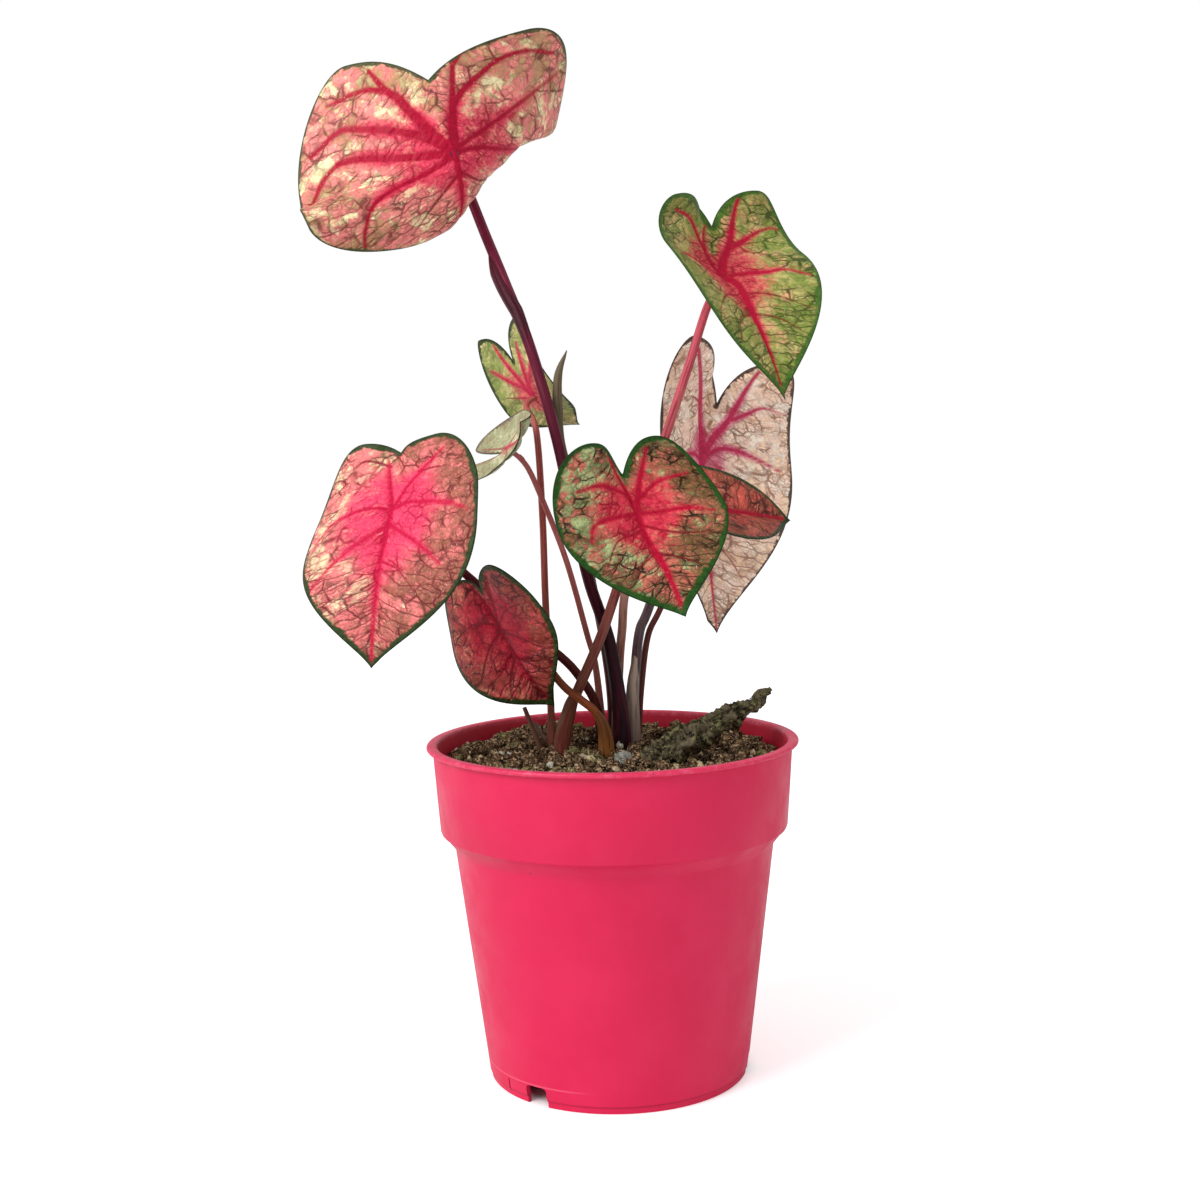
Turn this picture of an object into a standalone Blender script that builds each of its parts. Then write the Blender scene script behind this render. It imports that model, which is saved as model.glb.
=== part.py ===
"""Caladium in its pot: nine leaves on stalks, a rolled new leaf, a tuber in soil, and a nursery pot.

Lengths are millimetres from the pot's axis and foot; make_object turns them into metres of the frame,
whose origin is the middle of the base rectangle of the whole plant.
"""

import math
import random

import bmesh
import bpy
import numpy as np
from mathutils import Vector

MM = 0.001
FRAME_X = 13.3
FRAME_Y = -3.0
GAP = 0.35
SEAT_GAP = 0.65

RIM_R = 60.0
POT_H = 109.0
LIP_H = 1.5
COLLAR_TOP_R = 58.0
COLLAR_LOW_R = 56.2
COLLAR_LOW_Z = 81.0
BODY_TOP_R = 51.6
BODY_TOP_Z = 76.0
FOOT_R = 42.1
WALL = 1.4
FLOOR_Z = 6.8
FLOOR_T = 1.6
POT_SEGMENTS = 60

SLOT_ANGLES = (-37.5, 82.5, 202.5)
SLOT_W = 8.0
SLOT_H = 6.3

SOIL_Z = 101.0
MOUND_H = 4.0
BACK_HEAP_H = 3.0
SOIL_SEGMENTS = 48
SOIL_RINGS = (0.99, 0.87, 0.74, 0.61, 0.48, 0.35, 0.2)
HOLE_TOP_Z = 114.0
TUBER_C = (-5.0, 7.0, 82.0)
TUBER_R = (21.0, 17.0, 8.0)

BLADE_T = 0.8
RIB_H = 0.9
LOBE_STEPS = 4
SIDE_STEPS = 4
TIP_STEPS = 7
RINGS = (0.17, 0.45, 0.75, 1.0)
EASE_LENGTH = 3.0
BEND_STEP = 0.5
VEIN_SPOKES = (4, 8, 15)
STALK_STEPS = 2

FINISHES = {
    "pot": ((0.77, 0.06, 0.15), 0.45),
    "soil": ((0.035, 0.022, 0.014), 0.95),
    "tuber": ((0.16, 0.1, 0.05), 0.8),
    "bark": ((0.08, 0.09, 0.04), 0.9),
    "lump": ((0.5, 0.5, 0.46), 0.9),
    "perlite": ((0.75, 0.72, 0.65), 0.9),
    "leaf_top_left": ((0.72, 0.22, 0.22), 0.5),
    "leaf_top_right": ((0.35, 0.4, 0.16), 0.5),
    "leaf_low_left": ((0.7, 0.14, 0.19), 0.5),
    "leaf_middle": ((0.45, 0.17, 0.14), 0.5),
    "leaf_back_right": ((0.76, 0.5, 0.42), 0.5),
    "leaf_small_right": ((0.42, 0.1, 0.1), 0.5),
    "leaf_low_middle": ((0.38, 0.04, 0.08), 0.5),
    "leaf_small_back": ((0.4, 0.46, 0.28), 0.5),
    "leaf_folded": ((0.4, 0.46, 0.3), 0.5),
    "stalk_maroon": ((0.12, 0.02, 0.04), 0.45),
    "stalk_red": ((0.36, 0.1, 0.1), 0.45),
    "stalk_brown": ((0.24, 0.11, 0.05), 0.5),
    "stalk_pink": ((0.4, 0.22, 0.18), 0.5),
    "stalk_purple": ((0.16, 0.12, 0.14), 0.5),
    "rolled_leaf": ((0.2, 0.17, 0.12), 0.5),
}

# Points along the bark's middle, with its radius at each.
BARK = (
    (8.0, -12.5, 101.6, 2.2),
    (15.5, -10.0, 105.0, 3.6),
    (23.0, -7.0, 108.2, 4.1),
    (30.0, -3.0, 111.2, 3.7),
    (37.0, 0.0, 114.5, 2.9),
    (45.5, 4.0, 118.0, 1.9),
    (52.0, 6.0, 123.4, 0.7),
)

LUMPS = {
    "lump": {"centre": (3.5, -11.0, 104.2), "size": (3.2, 2.8, 2.6), "seed": 3, "slot": "lump"},
    "perlite_left": {"centre": (-9.5, -9.0, 104.4), "size": (1.7, 1.5, 1.3), "seed": 4, "slot": "perlite"},
    "perlite_right": {"centre": (46.0, -6.0, 100.9), "size": (2.3, 1.5, 1.4), "seed": 5, "slot": "perlite"},
}

# Each blade: where its veins meet, where the tip points, the half outline, and how the blade bends.
LEAVES = {
    "leaf_top_left": {
        "join": (-46.0, 5.0, 297.0), "heading": 9, "dip": 70, "roll": 68,
        "tip": 34.5, "half": 56.5, "wide": 14.5, "lobe": 30.5, "lobe_u": 33.0, "sinus": 23.5,
        "droop": 107, "back": 14, "fold_l": -28, "fold_r": -3, "curl_l": 4, "curl_r": -41,
        "twist": -39, "asym": 0.07, "side": 0.02, "ripple": 0.7, "wide_r": 9.0, "lobe_l": 34.0,
    },
    "leaf_top_right": {
        "join": (38.0, 0.0, 255.5), "heading": -53, "dip": 40, "roll": 4,
        "tip": 48.5, "half": 31.0, "wide": -2.0, "lobe": 32.5, "lobe_u": 19.5, "sinus": 20.0,
        "droop": 36, "back": 74, "fold_l": 22, "fold_r": 21, "curl_l": 5, "curl_r": -13,
        "twist": 8, "asym": 0.01, "side": -0.02, "ripple": 0.7, "sinus_u": 4.0,
    },
    "leaf_low_left": {
        "join": (-66.5, -20.0, 185.0), "heading": -104, "dip": 51, "roll": 1,
        "tip": 50.5, "half": 33.5, "wide": 11.0, "lobe": 24.0, "lobe_u": 14.0, "sinus": 20.5,
        "droop": 46, "back": 23, "fold_l": 13, "fold_r": 24, "curl_l": -59, "curl_r": 1,
        "twist": -13, "asym": 0.11, "side": -0.08, "ripple": 0.7,
    },
    "leaf_middle": {
        "join": (9.0, -25.0, 182.5), "heading": -49, "dip": 59, "roll": 9,
        "tip": 36.5, "half": 29.5, "wide": 3.0, "lobe": 24.0, "lobe_u": 13.0, "sinus": 13.5,
        "droop": 1, "back": 28, "fold_l": 10, "fold_r": 20, "curl_l": -7, "curl_r": -8,
        "twist": 15, "asym": -0.06, "side": 0.05, "ripple": 0.7,
    },
    "leaf_back_right": {
        "join": (33.0, 52.0, 197.5), "heading": -64, "dip": 84, "roll": -33,
        "tip": 60.5, "half": 37.5, "wide": 5.5, "lobe": 43.5, "lobe_u": 26.5, "sinus": 20.0,
        "droop": 7, "back": 39, "fold_l": 12, "fold_r": 38, "curl_l": -7, "curl_r": -4,
        "twist": -5, "asym": -0.04, "side": 0.12, "ripple": 0.7, "sinus_u": 5.0,
    },
    "leaf_small_right": {
        "join": (30.0, 4.0, 182.0), "heading": 31, "dip": 4, "roll": 37,
        "tip": 38.5, "half": 21.0, "wide": 1.5, "lobe": 16.0, "lobe_u": 10.5, "sinus": 5.5,
        "droop": 12, "back": 10, "fold_l": 17, "fold_r": 18, "curl_l": 0, "curl_r": -20,
        "twist": 16, "asym": -0.01, "side": 0.03, "ripple": 0.35,
    },
    "leaf_low_middle": {
        "join": (-35.0, -12.0, 148.0), "heading": -199, "dip": 112, "roll": -58,
        "tip": 32.0, "half": 26.5, "wide": 1.5, "lobe": 18.5, "lobe_u": 11.5, "sinus": 12.0,
        "droop": 35, "back": 11, "fold_l": 16, "fold_r": 12, "curl_l": -21, "curl_r": -22,
        "twist": -17, "asym": -0.02, "side": -0.02, "ripple": 0.7,
    },
    "leaf_small_back": {
        "join": (-23.5, 36.0, 220.5), "heading": 18, "dip": 50, "roll": -25,
        "tip": 20.0, "half": 15.5, "wide": -1.5, "lobe": 26.0, "lobe_u": 12.0, "sinus": 14.0,
        "droop": -49, "back": 29, "fold_l": 5, "fold_r": 0, "curl_l": -27, "curl_r": -21,
        "twist": -3, "asym": -0.02, "side": 0.04, "ripple": 0.35,
    },
    "leaf_folded": {
        "join": (-31.5, 10.0, 203.0), "heading": -47, "dip": -18, "roll": -120,
        "tip": 20.0, "half": 14.5, "wide": 0.5, "lobe": 16.5, "lobe_u": 5.0, "sinus": 4.0,
        "droop": 53, "back": -21, "fold_l": 12, "fold_r": -6, "curl_l": -23, "curl_r": -35,
        "twist": 0, "asym": 0.01, "side": 0.07, "ripple": 0.35,
    },
}

# Each stalk: top, middle and foot radius, and the points it passes on its way down into the soil.
STALKS = {
    "stalk_top_left": {
        "slot": "stalk_maroon", "radii": (1.5, 1.9, 2.9),
        "leaf": "leaf_top_left",
        "path": [
            (-50.0, 24.0, 298.0), (-47.0, 31.0, 296.5), (-43.0, 33.0, 286.0), (-38.5, 29.0, 274.0),
            (-32.0, 22.0, 257.5), (-24.5, 14.0, 237.5), (-16.5, 7.0, 209.0), (-11.5, 3.5, 184.5),
            (-6.5, 2.5, 160.5), (-0.5, 4.0, 140.5), (3.0, 4.0, 116.0), (3.0, 3.0, 104.5),
            (2.0, 3.5, 90.5),
        ],
    },
    "stalk_top_right": {
        "slot": "stalk_red", "radii": (1.2, 1.7, 2.8),
        "leaf": "leaf_top_right",
        "path": [
            (33.0, 3.5, 246.0), (26.5, 0.5, 227.0), (19.0, -2.5, 206.0), (10.5, -3.0, 181.0),
            (2.0, -0.5, 156.0), (-3.0, -3.0, 142.5), (-10.5, -3.5, 126.0), (-13.5, -2.5, 119.5),
            (-16.5, -0.5, 105.5), (-14.5, 1.0, 90.5),
        ],
    },
    "stalk_low_left": {
        "slot": "stalk_maroon", "radii": (1.3, 1.5, 1.9),
        "leaf": "leaf_low_left", "reach": 2.2,
        "path": [
            (-44.5, 0.0, 162.0), (-30.5, 4.0, 147.0), (-16.5, 6.0, 135.5), (-10.0, 7.0, 128.0),
            (-5.0, 8.0, 118.5), (-3.0, 8.5, 103.5), (-3.0, 8.0, 90.5),
        ],
    },
    "stalk_middle": {
        "slot": "stalk_pink", "radii": (1.3, 1.5, 1.9),
        "leaf": "leaf_middle",
        "path": [
            (7.0, -9.0, 167.5), (5.5, -6.5, 159.5), (4.5, -1.0, 152.5), (4.0, 5.0, 144.5),
            (3.0, 10.0, 134.5), (2.0, 11.5, 119.5), (1.0, 11.5, 104.5), (0.5, 11.0, 90.5),
        ],
    },
    "stalk_back_right": {
        "slot": "stalk_purple", "radii": (1.4, 1.7, 2.1),
        "leaf": "leaf_back_right",
        "path": [
            (23.5, 42.0, 174.0), (13.0, 20.0, 149.0), (9.5, 13.5, 141.0), (7.5, 10.0, 123.0),
            (6.5, 8.5, 104.0), (5.0, 8.5, 90.5),
        ],
    },
    "stalk_small_right": {
        "slot": "stalk_brown", "radii": (0.9, 1.1, 1.5),
        "leaf": "leaf_small_right",
        "path": [
            (23.5, 13.0, 163.5), (16.5, 16.0, 148.5), (12.5, 18.0, 139.5), (10.0, 19.0, 122.0),
            (8.5, 17.5, 104.5), (7.0, 15.5, 90.5),
        ],
    },
    "stalk_low_middle": {
        "slot": "stalk_brown", "radii": (1.1, 1.4, 2.0),
        "leaf": "leaf_low_middle",
        "path": [
            (-16.5, -10.0, 129.5), (-10.0, -9.5, 123.5), (-4.5, -6.5, 117.5), (-2.0, -1.5, 105.5),
            (-2.5, 0.0, 90.5),
        ],
    },
    "stalk_small_back": {
        "slot": "stalk_pink", "radii": (1.0, 1.2, 1.6),
        "leaf": "leaf_small_back",
        "path": [
            (-23.0, 24.0, 208.5), (-21.5, 19.0, 181.0), (-21.0, 14.0, 153.0), (-20.0, 10.5, 119.0),
            (-20.0, 8.0, 105.0), (-17.5, 8.0, 90.5),
        ],
    },
    "stalk_folded": {
        "slot": "stalk_pink", "radii": (0.8, 1.0, 1.4),
        "leaf": "leaf_folded", "side": -1, "reach": 0.95,
        "path": [
            (-28.5, 12.0, 200.5), (-25.5, 12.5, 196.5), (-21.5, 13.5, 187.0), (-14.0, 14.0, 166.5),
            (-7.5, 14.5, 141.0), (-5.0, 14.0, 130.5), (-3.0, 14.0, 106.0), (-3.0, 12.5, 90.5),
        ],
    },
    "rolled_leaf": {
        "slot": "rolled_leaf", "radii": (0.5, 1.3, 1.6),
        "path": [
            (-12.0, 12.0, 234.5), (-15.0, 12.0, 226.5), (-15.5, 13.0, 215.5), (-15.0, 14.5, 205.0),
            (-12.0, 15.5, 192.5), (-8.0, 16.5, 172.5), (-4.5, 17.5, 152.5), (-1.5, 18.0, 134.0),
            (0.0, 18.0, 119.0), (0.0, 17.0, 105.0), (-0.5, 15.5, 90.5),
        ],
    },
    "old_stub": {
        "slot": "stalk_brown", "radii": (0.7, 1.0, 1.3),
        "path": [
            (-28.5, 4.5, 119.0), (-26.0, 5.0, 112.0), (-23.5, 5.0, 105.0), (-20.5, 5.5, 90.5),
        ],
    },
    "old_sheath": {
        "slot": "stalk_brown", "radii": (0.5, 1.6, 2.0),
        "path": [
            (-25.5, 14.0, 112.5), (-24.0, 13.5, 108.5), (-22.0, 13.0, 104.5), (-19.5, 12.0, 90.5),
        ],
    },
}


def clear_scene():
    for item in list(bpy.data.objects):
        bpy.data.objects.remove(item, do_unlink=True)


def make_object(name, points, faces, slot):
    """A closed mesh object from millimetre points, with its faces turned outward."""
    mesh = bpy.data.meshes.new(name)
    moved = [((x + FRAME_X) * MM, (y + FRAME_Y) * MM, z * MM) for x, y, z in points]
    mesh.from_pydata(moved, [], faces)
    work = bmesh.new()
    work.from_mesh(mesh)
    bmesh.ops.triangulate(work, faces=work.faces)
    bmesh.ops.recalc_face_normals(work, faces=work.faces)
    work.to_mesh(mesh)
    work.free()
    item = bpy.data.objects.new(name, mesh)
    bpy.context.collection.objects.link(item)
    item.data.materials.append(material(slot))
    return item


def material(slot):
    if slot in bpy.data.materials:
        return bpy.data.materials[slot]
    colour, rough = FINISHES[slot]
    made = bpy.data.materials.new(slot)
    made.use_nodes = True
    shader = made.node_tree.nodes["Principled BSDF"]
    shader.inputs["Base Color"].default_value = (*colour, 1.0)
    shader.inputs["Roughness"].default_value = rough
    return made


def cut(item, cutter):
    """Takes one mesh out of another and removes the cutter."""
    step = item.modifiers.new("cut", "BOOLEAN")
    step.operation = "DIFFERENCE"
    step.solver = "EXACT"
    step.object = cutter
    view = bpy.context.evaluated_depsgraph_get()
    result = bpy.data.meshes.new_from_object(item.evaluated_get(view))
    item.modifiers.clear()
    item.data = result
    bpy.data.objects.remove(cutter, do_unlink=True)


def bezier(p0, p1, p2, p3, steps):
    t = np.linspace(0.0, 1.0, steps + 1)[:, None]
    p0, p1, p2, p3 = (np.array(p, float) for p in (p0, p1, p2, p3))
    return (1 - t) ** 3 * p0 + 3 * (1 - t) ** 2 * t * p1 + 3 * (1 - t) * t * t * p2 + t ** 3 * p3


def half_outline(leaf, side):
    """From the sinus foot round the lobe and the widest point to the tip, on one side, as if u > 0.

    A leaf may give one side its own widest height or lobe: wide_r for the right, lobe_l for the left.
    """
    back, high = leaf["lobe"], leaf["wide"]
    if side > 0:
        high = leaf.get("wide_r", high)
    else:
        back = leaf.get("lobe_l", back)
    foot = (side * leaf.get("sinus_u", 0.0), -leaf["sinus"])
    lobe = (leaf["lobe_u"], -back)
    wide = (leaf["half"], high)
    tip = (0.0, leaf["tip"])
    rise = back - leaf["sinus"]
    reach = tip[1] - wide[1]
    leave = (foot[0] + 0.1 * wide[0], foot[1] - 0.55 * rise)
    inner = bezier(foot, leave, (0.45 * lobe[0] + 0.5 * foot[0], lobe[1]), lobe, LOBE_STEPS)
    outer = bezier(
        lobe,
        (lobe[0] + 0.6 * (wide[0] - lobe[0]), lobe[1]),
        (wide[0], wide[1] - 0.6 * (wide[1] - lobe[1])),
        wide,
        SIDE_STEPS,
    )
    last = bezier(
        wide,
        (wide[0], wide[1] + 0.5 * reach),
        (0.16 * wide[0], tip[1] - 0.2 * reach),
        tip,
        TIP_STEPS,
    )
    return np.vstack([inner[:-1], outer[:-1], last])


def full_outline(leaf):
    """The whole edge, from the sinus foot up the right side and back down the left."""
    right = half_outline(leaf, 1)
    left = half_outline(leaf, -1)[-2:0:-1]
    right[:, 0] *= 1 + leaf["asym"]
    left[:, 0] *= -(1 - leaf["asym"])
    return np.vstack([right, left])


def midrib_curve(leaf, v):
    """Turn of the midrib at each v, and how far it has gone along and down; the bend eases in near the join."""
    grid = np.arange(-70.0, 70.0 + BEND_STEP, BEND_STEP)
    share = np.clip(0.5 + grid / (2 * EASE_LENGTH), 0, 1)
    back = -math.radians(leaf["back"]) / leaf["lobe"]
    front = math.radians(leaf["droop"]) / leaf["tip"]
    bend = back + (front - back) * share
    start = len(grid) // 2
    turn, along, down = (np.zeros(len(grid)) for _ in range(3))
    turn[1:] = np.cumsum((bend[1:] + bend[:-1]) / 2) * BEND_STEP
    turn -= turn[start]
    along[1:] = np.cumsum(np.cos((turn[1:] + turn[:-1]) / 2)) * BEND_STEP
    down[1:] = np.cumsum(np.sin((turn[1:] + turn[:-1]) / 2)) * BEND_STEP
    along -= along[start]
    down -= down[start]
    return np.interp(v, grid, turn), np.interp(v, grid, along), np.interp(v, grid, down)


def blade_surface(leaf, u, v):
    """Places flat blade points (millimetres from the join) on the bent blade."""
    u = u + leaf["side"] * (np.clip(v, 0, None) / leaf["tip"]) ** 2 * leaf["half"]
    heading, dip, roll = (math.radians(leaf[k]) for k in ("heading", "dip", "roll"))
    along = np.array([
        math.cos(dip) * math.cos(heading),
        math.cos(dip) * math.sin(heading),
        -math.sin(dip),
    ])
    level = np.array([-math.sin(heading), math.cos(heading), 0.0])
    upright = np.cross(along, level)
    across = math.cos(roll) * level + math.sin(roll) * upright
    normal = -math.sin(roll) * level + math.cos(roll) * upright
    turn, ahead, down = midrib_curve(leaf, v)
    rib = np.outer(ahead, along) - np.outer(down, normal)
    rib_normal = np.outer(np.sin(turn), along) + np.outer(np.cos(turn), normal)
    fold = np.radians(np.where(u > 0, leaf["fold_r"], leaf["fold_l"]))
    curl = np.radians(np.where(u > 0, leaf["curl_r"], leaf["curl_l"])) / leaf["half"]
    curl = np.where(np.abs(curl) < 1e-6, 1e-6, curl)
    lift = fold + curl * np.abs(u)
    out = (np.sin(lift) - np.sin(fold)) / curl * np.sign(u)
    rise = (np.cos(fold) - np.cos(lift)) / curl
    twist = np.radians(leaf["twist"]) * v / leaf["tip"]
    side = np.outer(np.cos(twist), across) + np.sin(twist)[:, None] * rib_normal
    up = np.outer(-np.sin(twist), across) + np.cos(twist)[:, None] * rib_normal
    return np.array(leaf["join"]) + rib + out[:, None] * side + rise[:, None] * up


def blade_mesh(leaf):
    """Rings of points round the join, the same triangles on both faces, ribs under the main veins."""
    edge = full_outline(leaf)
    count = len(edge)
    flat = [np.zeros((1, 2))] + [edge * ring for ring in RINGS]
    flat = np.vstack(flat)
    middle = blade_surface(leaf, flat[:, 0], flat[:, 1])
    tris = []
    for k in range(count):
        tris.append((0, 1 + k, 1 + (k + 1) % count))
    for ring in range(len(RINGS) - 1):
        inner = 1 + ring * count
        outer = inner + count
        for k in range(count):
            m = (k + 1) % count
            if k < count // 2:
                tris += [(inner + k, outer + k, outer + m), (inner + k, outer + m, inner + m)]
            else:
                tris += [(inner + k, outer + k, inner + m), (inner + m, outer + k, outer + m)]
    tris = np.array(tris)[:, ::-1]
    corners = middle[tris]
    faces = np.cross(corners[:, 1] - corners[:, 0], corners[:, 2] - corners[:, 0])
    normals = np.zeros_like(middle)
    for c in range(3):
        np.add.at(normals, tris[:, c], faces)
    normals /= np.linalg.norm(normals, axis=1)[:, None]
    rib = np.zeros(len(middle))
    wave = np.zeros(len(middle))
    rib[0] = RIB_H
    for n, ring in enumerate(RINGS):
        for k in range(count):
            at = 1 + n * count + k
            if min(k, count - k) in VEIN_SPOKES:
                rib[at] = RIB_H * (1 - 0.9 * ring)
            wave[at] = leaf["ripple"] * ring ** 2 * math.sin(5.0 * 2 * math.pi * k / count + leaf["tip"])
    middle = middle + normals * wave[:, None]
    top = middle + normals * (BLADE_T / 2)
    low = middle - normals * (BLADE_T / 2 + rib)[:, None]
    total = len(middle)
    faces = [tuple(t) for t in tris] + [(c + total, b + total, a + total) for a, b, c in tris]
    rim = total - count
    for k in range(count):
        m = (k + 1) % count
        faces += [(rim + k, rim + k + total, rim + m + total), (rim + k, rim + m + total, rim + m)]
    return np.vstack([top, low]), [tuple(int(i) for i in f) for f in faces]


def smooth_path(points, steps):
    """A smooth curve through the given points."""
    p = np.array(points, float)
    p = np.vstack([2 * p[0] - p[1], p, 2 * p[-1] - p[-2]])
    out = []
    for i in range(1, len(p) - 2):
        a, b, c, d = p[i - 1], p[i], p[i + 1], p[i + 2]
        for t in np.linspace(0, 1, steps, endpoint=False):
            line = 2 * b + (c - a) * t + (2 * a - 5 * b + 4 * c - d) * t * t
            out.append(0.5 * (line + (3 * b - a - 3 * c + d) * t ** 3))
    out.append(p[-2])
    return np.array(out)


def tube_mesh(path, radii, sides):
    """A tube of changing radius with flat ends; its rings keep their turn along the path."""
    points = []
    tangents = np.gradient(path, axis=0)
    tangents /= np.linalg.norm(tangents, axis=1)[:, None]
    side = Vector(tangents[0]).orthogonal().normalized()
    for here, ahead, radius in zip(path, tangents, radii):
        ahead = Vector(ahead)
        side = (side - ahead * side.dot(ahead)).normalized()
        other = ahead.cross(side)
        for k in range(sides):
            turn = 2 * math.pi * k / sides
            spoke = math.cos(turn) * side + math.sin(turn) * other
            points.append(Vector(here) + float(radius) * spoke)
    faces = []
    for ring in range(len(path) - 1):
        for k in range(sides):
            a = ring * sides + k
            b = ring * sides + (k + 1) % sides
            faces.append((a, b, b + sides, a + sides))
    faces.append(tuple(range(sides - 1, -1, -1)))
    start = (len(path) - 1) * sides
    faces.append(tuple(range(start, start + sides)))
    return [tuple(p) for p in points], faces


def stalk_radii(stalk, count):
    top, middle, foot = stalk["radii"]
    share = np.linspace(0, 1, count)
    wide = top + (middle - top) * np.clip(share / 0.75, 0, 1)
    return wide + (foot - middle) * np.clip((share - 0.75) / 0.15, 0, 1)


def seat_points(stalk):
    """The stalk's first two points, square to the blade where its veins meet."""
    leaf = LEAVES[stalk["leaf"]]
    side = stalk.get("side", 1)
    near = blade_surface(leaf, np.array([0.2, -0.2, 1e-4, 1e-4]), np.array([0.0, 0.0, 0.2, -0.2]))
    normal = np.cross(near[2] - near[3], near[0] - near[1])
    normal *= side / np.linalg.norm(normal)
    join = np.array(leaf["join"])
    reach = stalk.get("reach", BLADE_T / 2 + RIB_H + SEAT_GAP)
    return [join - normal * reach, join - normal * 6]


def stalk_path(stalk):
    points = [np.array(p) for p in stalk["path"]]
    if "leaf" in stalk:
        points = seat_points(stalk) + points
    return smooth_path(points, STALK_STEPS)


def lathe(profile, segments):
    """Turns a profile of (radius, height) round the pot's axis; radius 0 closes it."""
    points = []
    rings = []
    for radius, height in profile:
        if radius == 0:
            rings.append([len(points)])
            points.append((0.0, 0.0, height))
            continue
        rings.append(list(range(len(points), len(points) + segments)))
        for k in range(segments):
            turn = 2 * math.pi * k / segments
            points.append((radius * math.cos(turn), radius * math.sin(turn), height))
    faces = []
    for low, high in zip(rings, rings[1:]):
        for k in range(segments):
            m = (k + 1) % segments
            quad = [low[k % len(low)], low[m % len(low)], high[m % len(high)], high[k % len(high)]]
            clean = []
            for index in quad:
                if index not in clean:
                    clean.append(index)
            faces.append(tuple(clean))
    return points, faces


def pot_profile():
    lean = (BODY_TOP_R - FOOT_R) / BODY_TOP_Z
    under = FOOT_R + lean * FLOOR_Z
    floor_top = FLOOR_Z + FLOOR_T
    inside = FOOT_R + lean * floor_top - WALL
    lip_low = POT_H - LIP_H
    return [
        (0, FLOOR_Z),
        (under - WALL - 0.4, FLOOR_Z),
        (FOOT_R - WALL - 0.4, 0),
        (FOOT_R - 0.3, 0),
        (FOOT_R - 0.1, 2.0),
        (FOOT_R + 0.35, 2.3),
        (BODY_TOP_R, BODY_TOP_Z),
        (COLLAR_LOW_R - 0.6, COLLAR_LOW_Z - 0.4),
        (COLLAR_LOW_R, COLLAR_LOW_Z + 0.6),
        (COLLAR_TOP_R, lip_low),
        (RIM_R - 0.5, lip_low),
        (RIM_R, lip_low + 0.6),
        (RIM_R, POT_H - 0.6),
        (RIM_R - 0.7, POT_H),
        (COLLAR_TOP_R - 0.6, POT_H),
        (COLLAR_TOP_R - WALL - 0.2, POT_H - 1.0),
        (COLLAR_LOW_R - WALL, COLLAR_LOW_Z + 0.8),
        (BODY_TOP_R - WALL, BODY_TOP_Z + 0.6),
        (inside, floor_top),
        (0, floor_top),
    ]


def inner_radius(z):
    """Inner radius of the pot at a height above its floor."""
    lean = (BODY_TOP_R - FOOT_R) / BODY_TOP_Z
    if z < BODY_TOP_Z + 0.6:
        low = FLOOR_Z + FLOOR_T
        start = FOOT_R + lean * low - WALL
        end = BODY_TOP_R - WALL
        return start + (end - start) * (z - low) / (BODY_TOP_Z + 0.6 - low)
    if z < COLLAR_LOW_Z + 0.8:
        start = BODY_TOP_R - WALL
        end = COLLAR_LOW_R - WALL
        return start + (end - start) * (z - BODY_TOP_Z - 0.6) / (COLLAR_LOW_Z + 0.2 - BODY_TOP_Z)
    start = COLLAR_LOW_R - WALL
    end = COLLAR_TOP_R - WALL - 0.2
    return start + (end - start) * (z - COLLAR_LOW_Z - 0.8) / (POT_H - 1.8 - COLLAR_LOW_Z)


def slot_cutter(angle):
    """A rounded block across the foot ring, straight up from the base."""
    turn = math.radians(angle)
    out = Vector((math.sin(turn), -math.cos(turn), 0))
    across = Vector((math.cos(turn), math.sin(turn), 0))
    half = SLOT_W / 2
    shape = [(-half, -2), (half, -2), (half, SLOT_H - 1.2), (half - 1.2, SLOT_H)]
    shape += [(1.2 - half, SLOT_H), (-half, SLOT_H - 1.2)]
    points = []
    for reach in (FOOT_R - 7, FOOT_R + 6):
        for wide, height in shape:
            points.append(tuple(out * reach + across * wide + Vector((0, 0, height))))
    n = len(shape)
    faces = [tuple(range(n)), tuple(range(2 * n - 1, n - 1, -1))]
    for k in range(n):
        m = (k + 1) % n
        faces.append((k, m, m + n, k + n))
    return make_object("cutter", points, faces, "soil")


def build_pot():
    points, faces = lathe(pot_profile(), POT_SEGMENTS)
    pot = make_object("pot", points, faces, "pot")
    for angle in SLOT_ANGLES:
        cut(pot, slot_cutter(angle))
    return pot


def soil_height(x, y):
    """Uneven surface: higher at the back, with a mound round the stalks."""
    mound = MOUND_H * math.exp(-((x + 5) ** 2 + (y - 8) ** 2) / 600)
    heap = BACK_HEAP_H * math.exp(-((x + 24) ** 2 + (y - 24) ** 2) / 260)
    bumps = 0.5 * math.sin(0.31 * x + 1.0) * math.cos(0.27 * y) + 0.35 * math.sin(0.52 * y - 0.45 * x)
    return SOIL_Z + 0.035 * y + mound + heap + bumps


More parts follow.
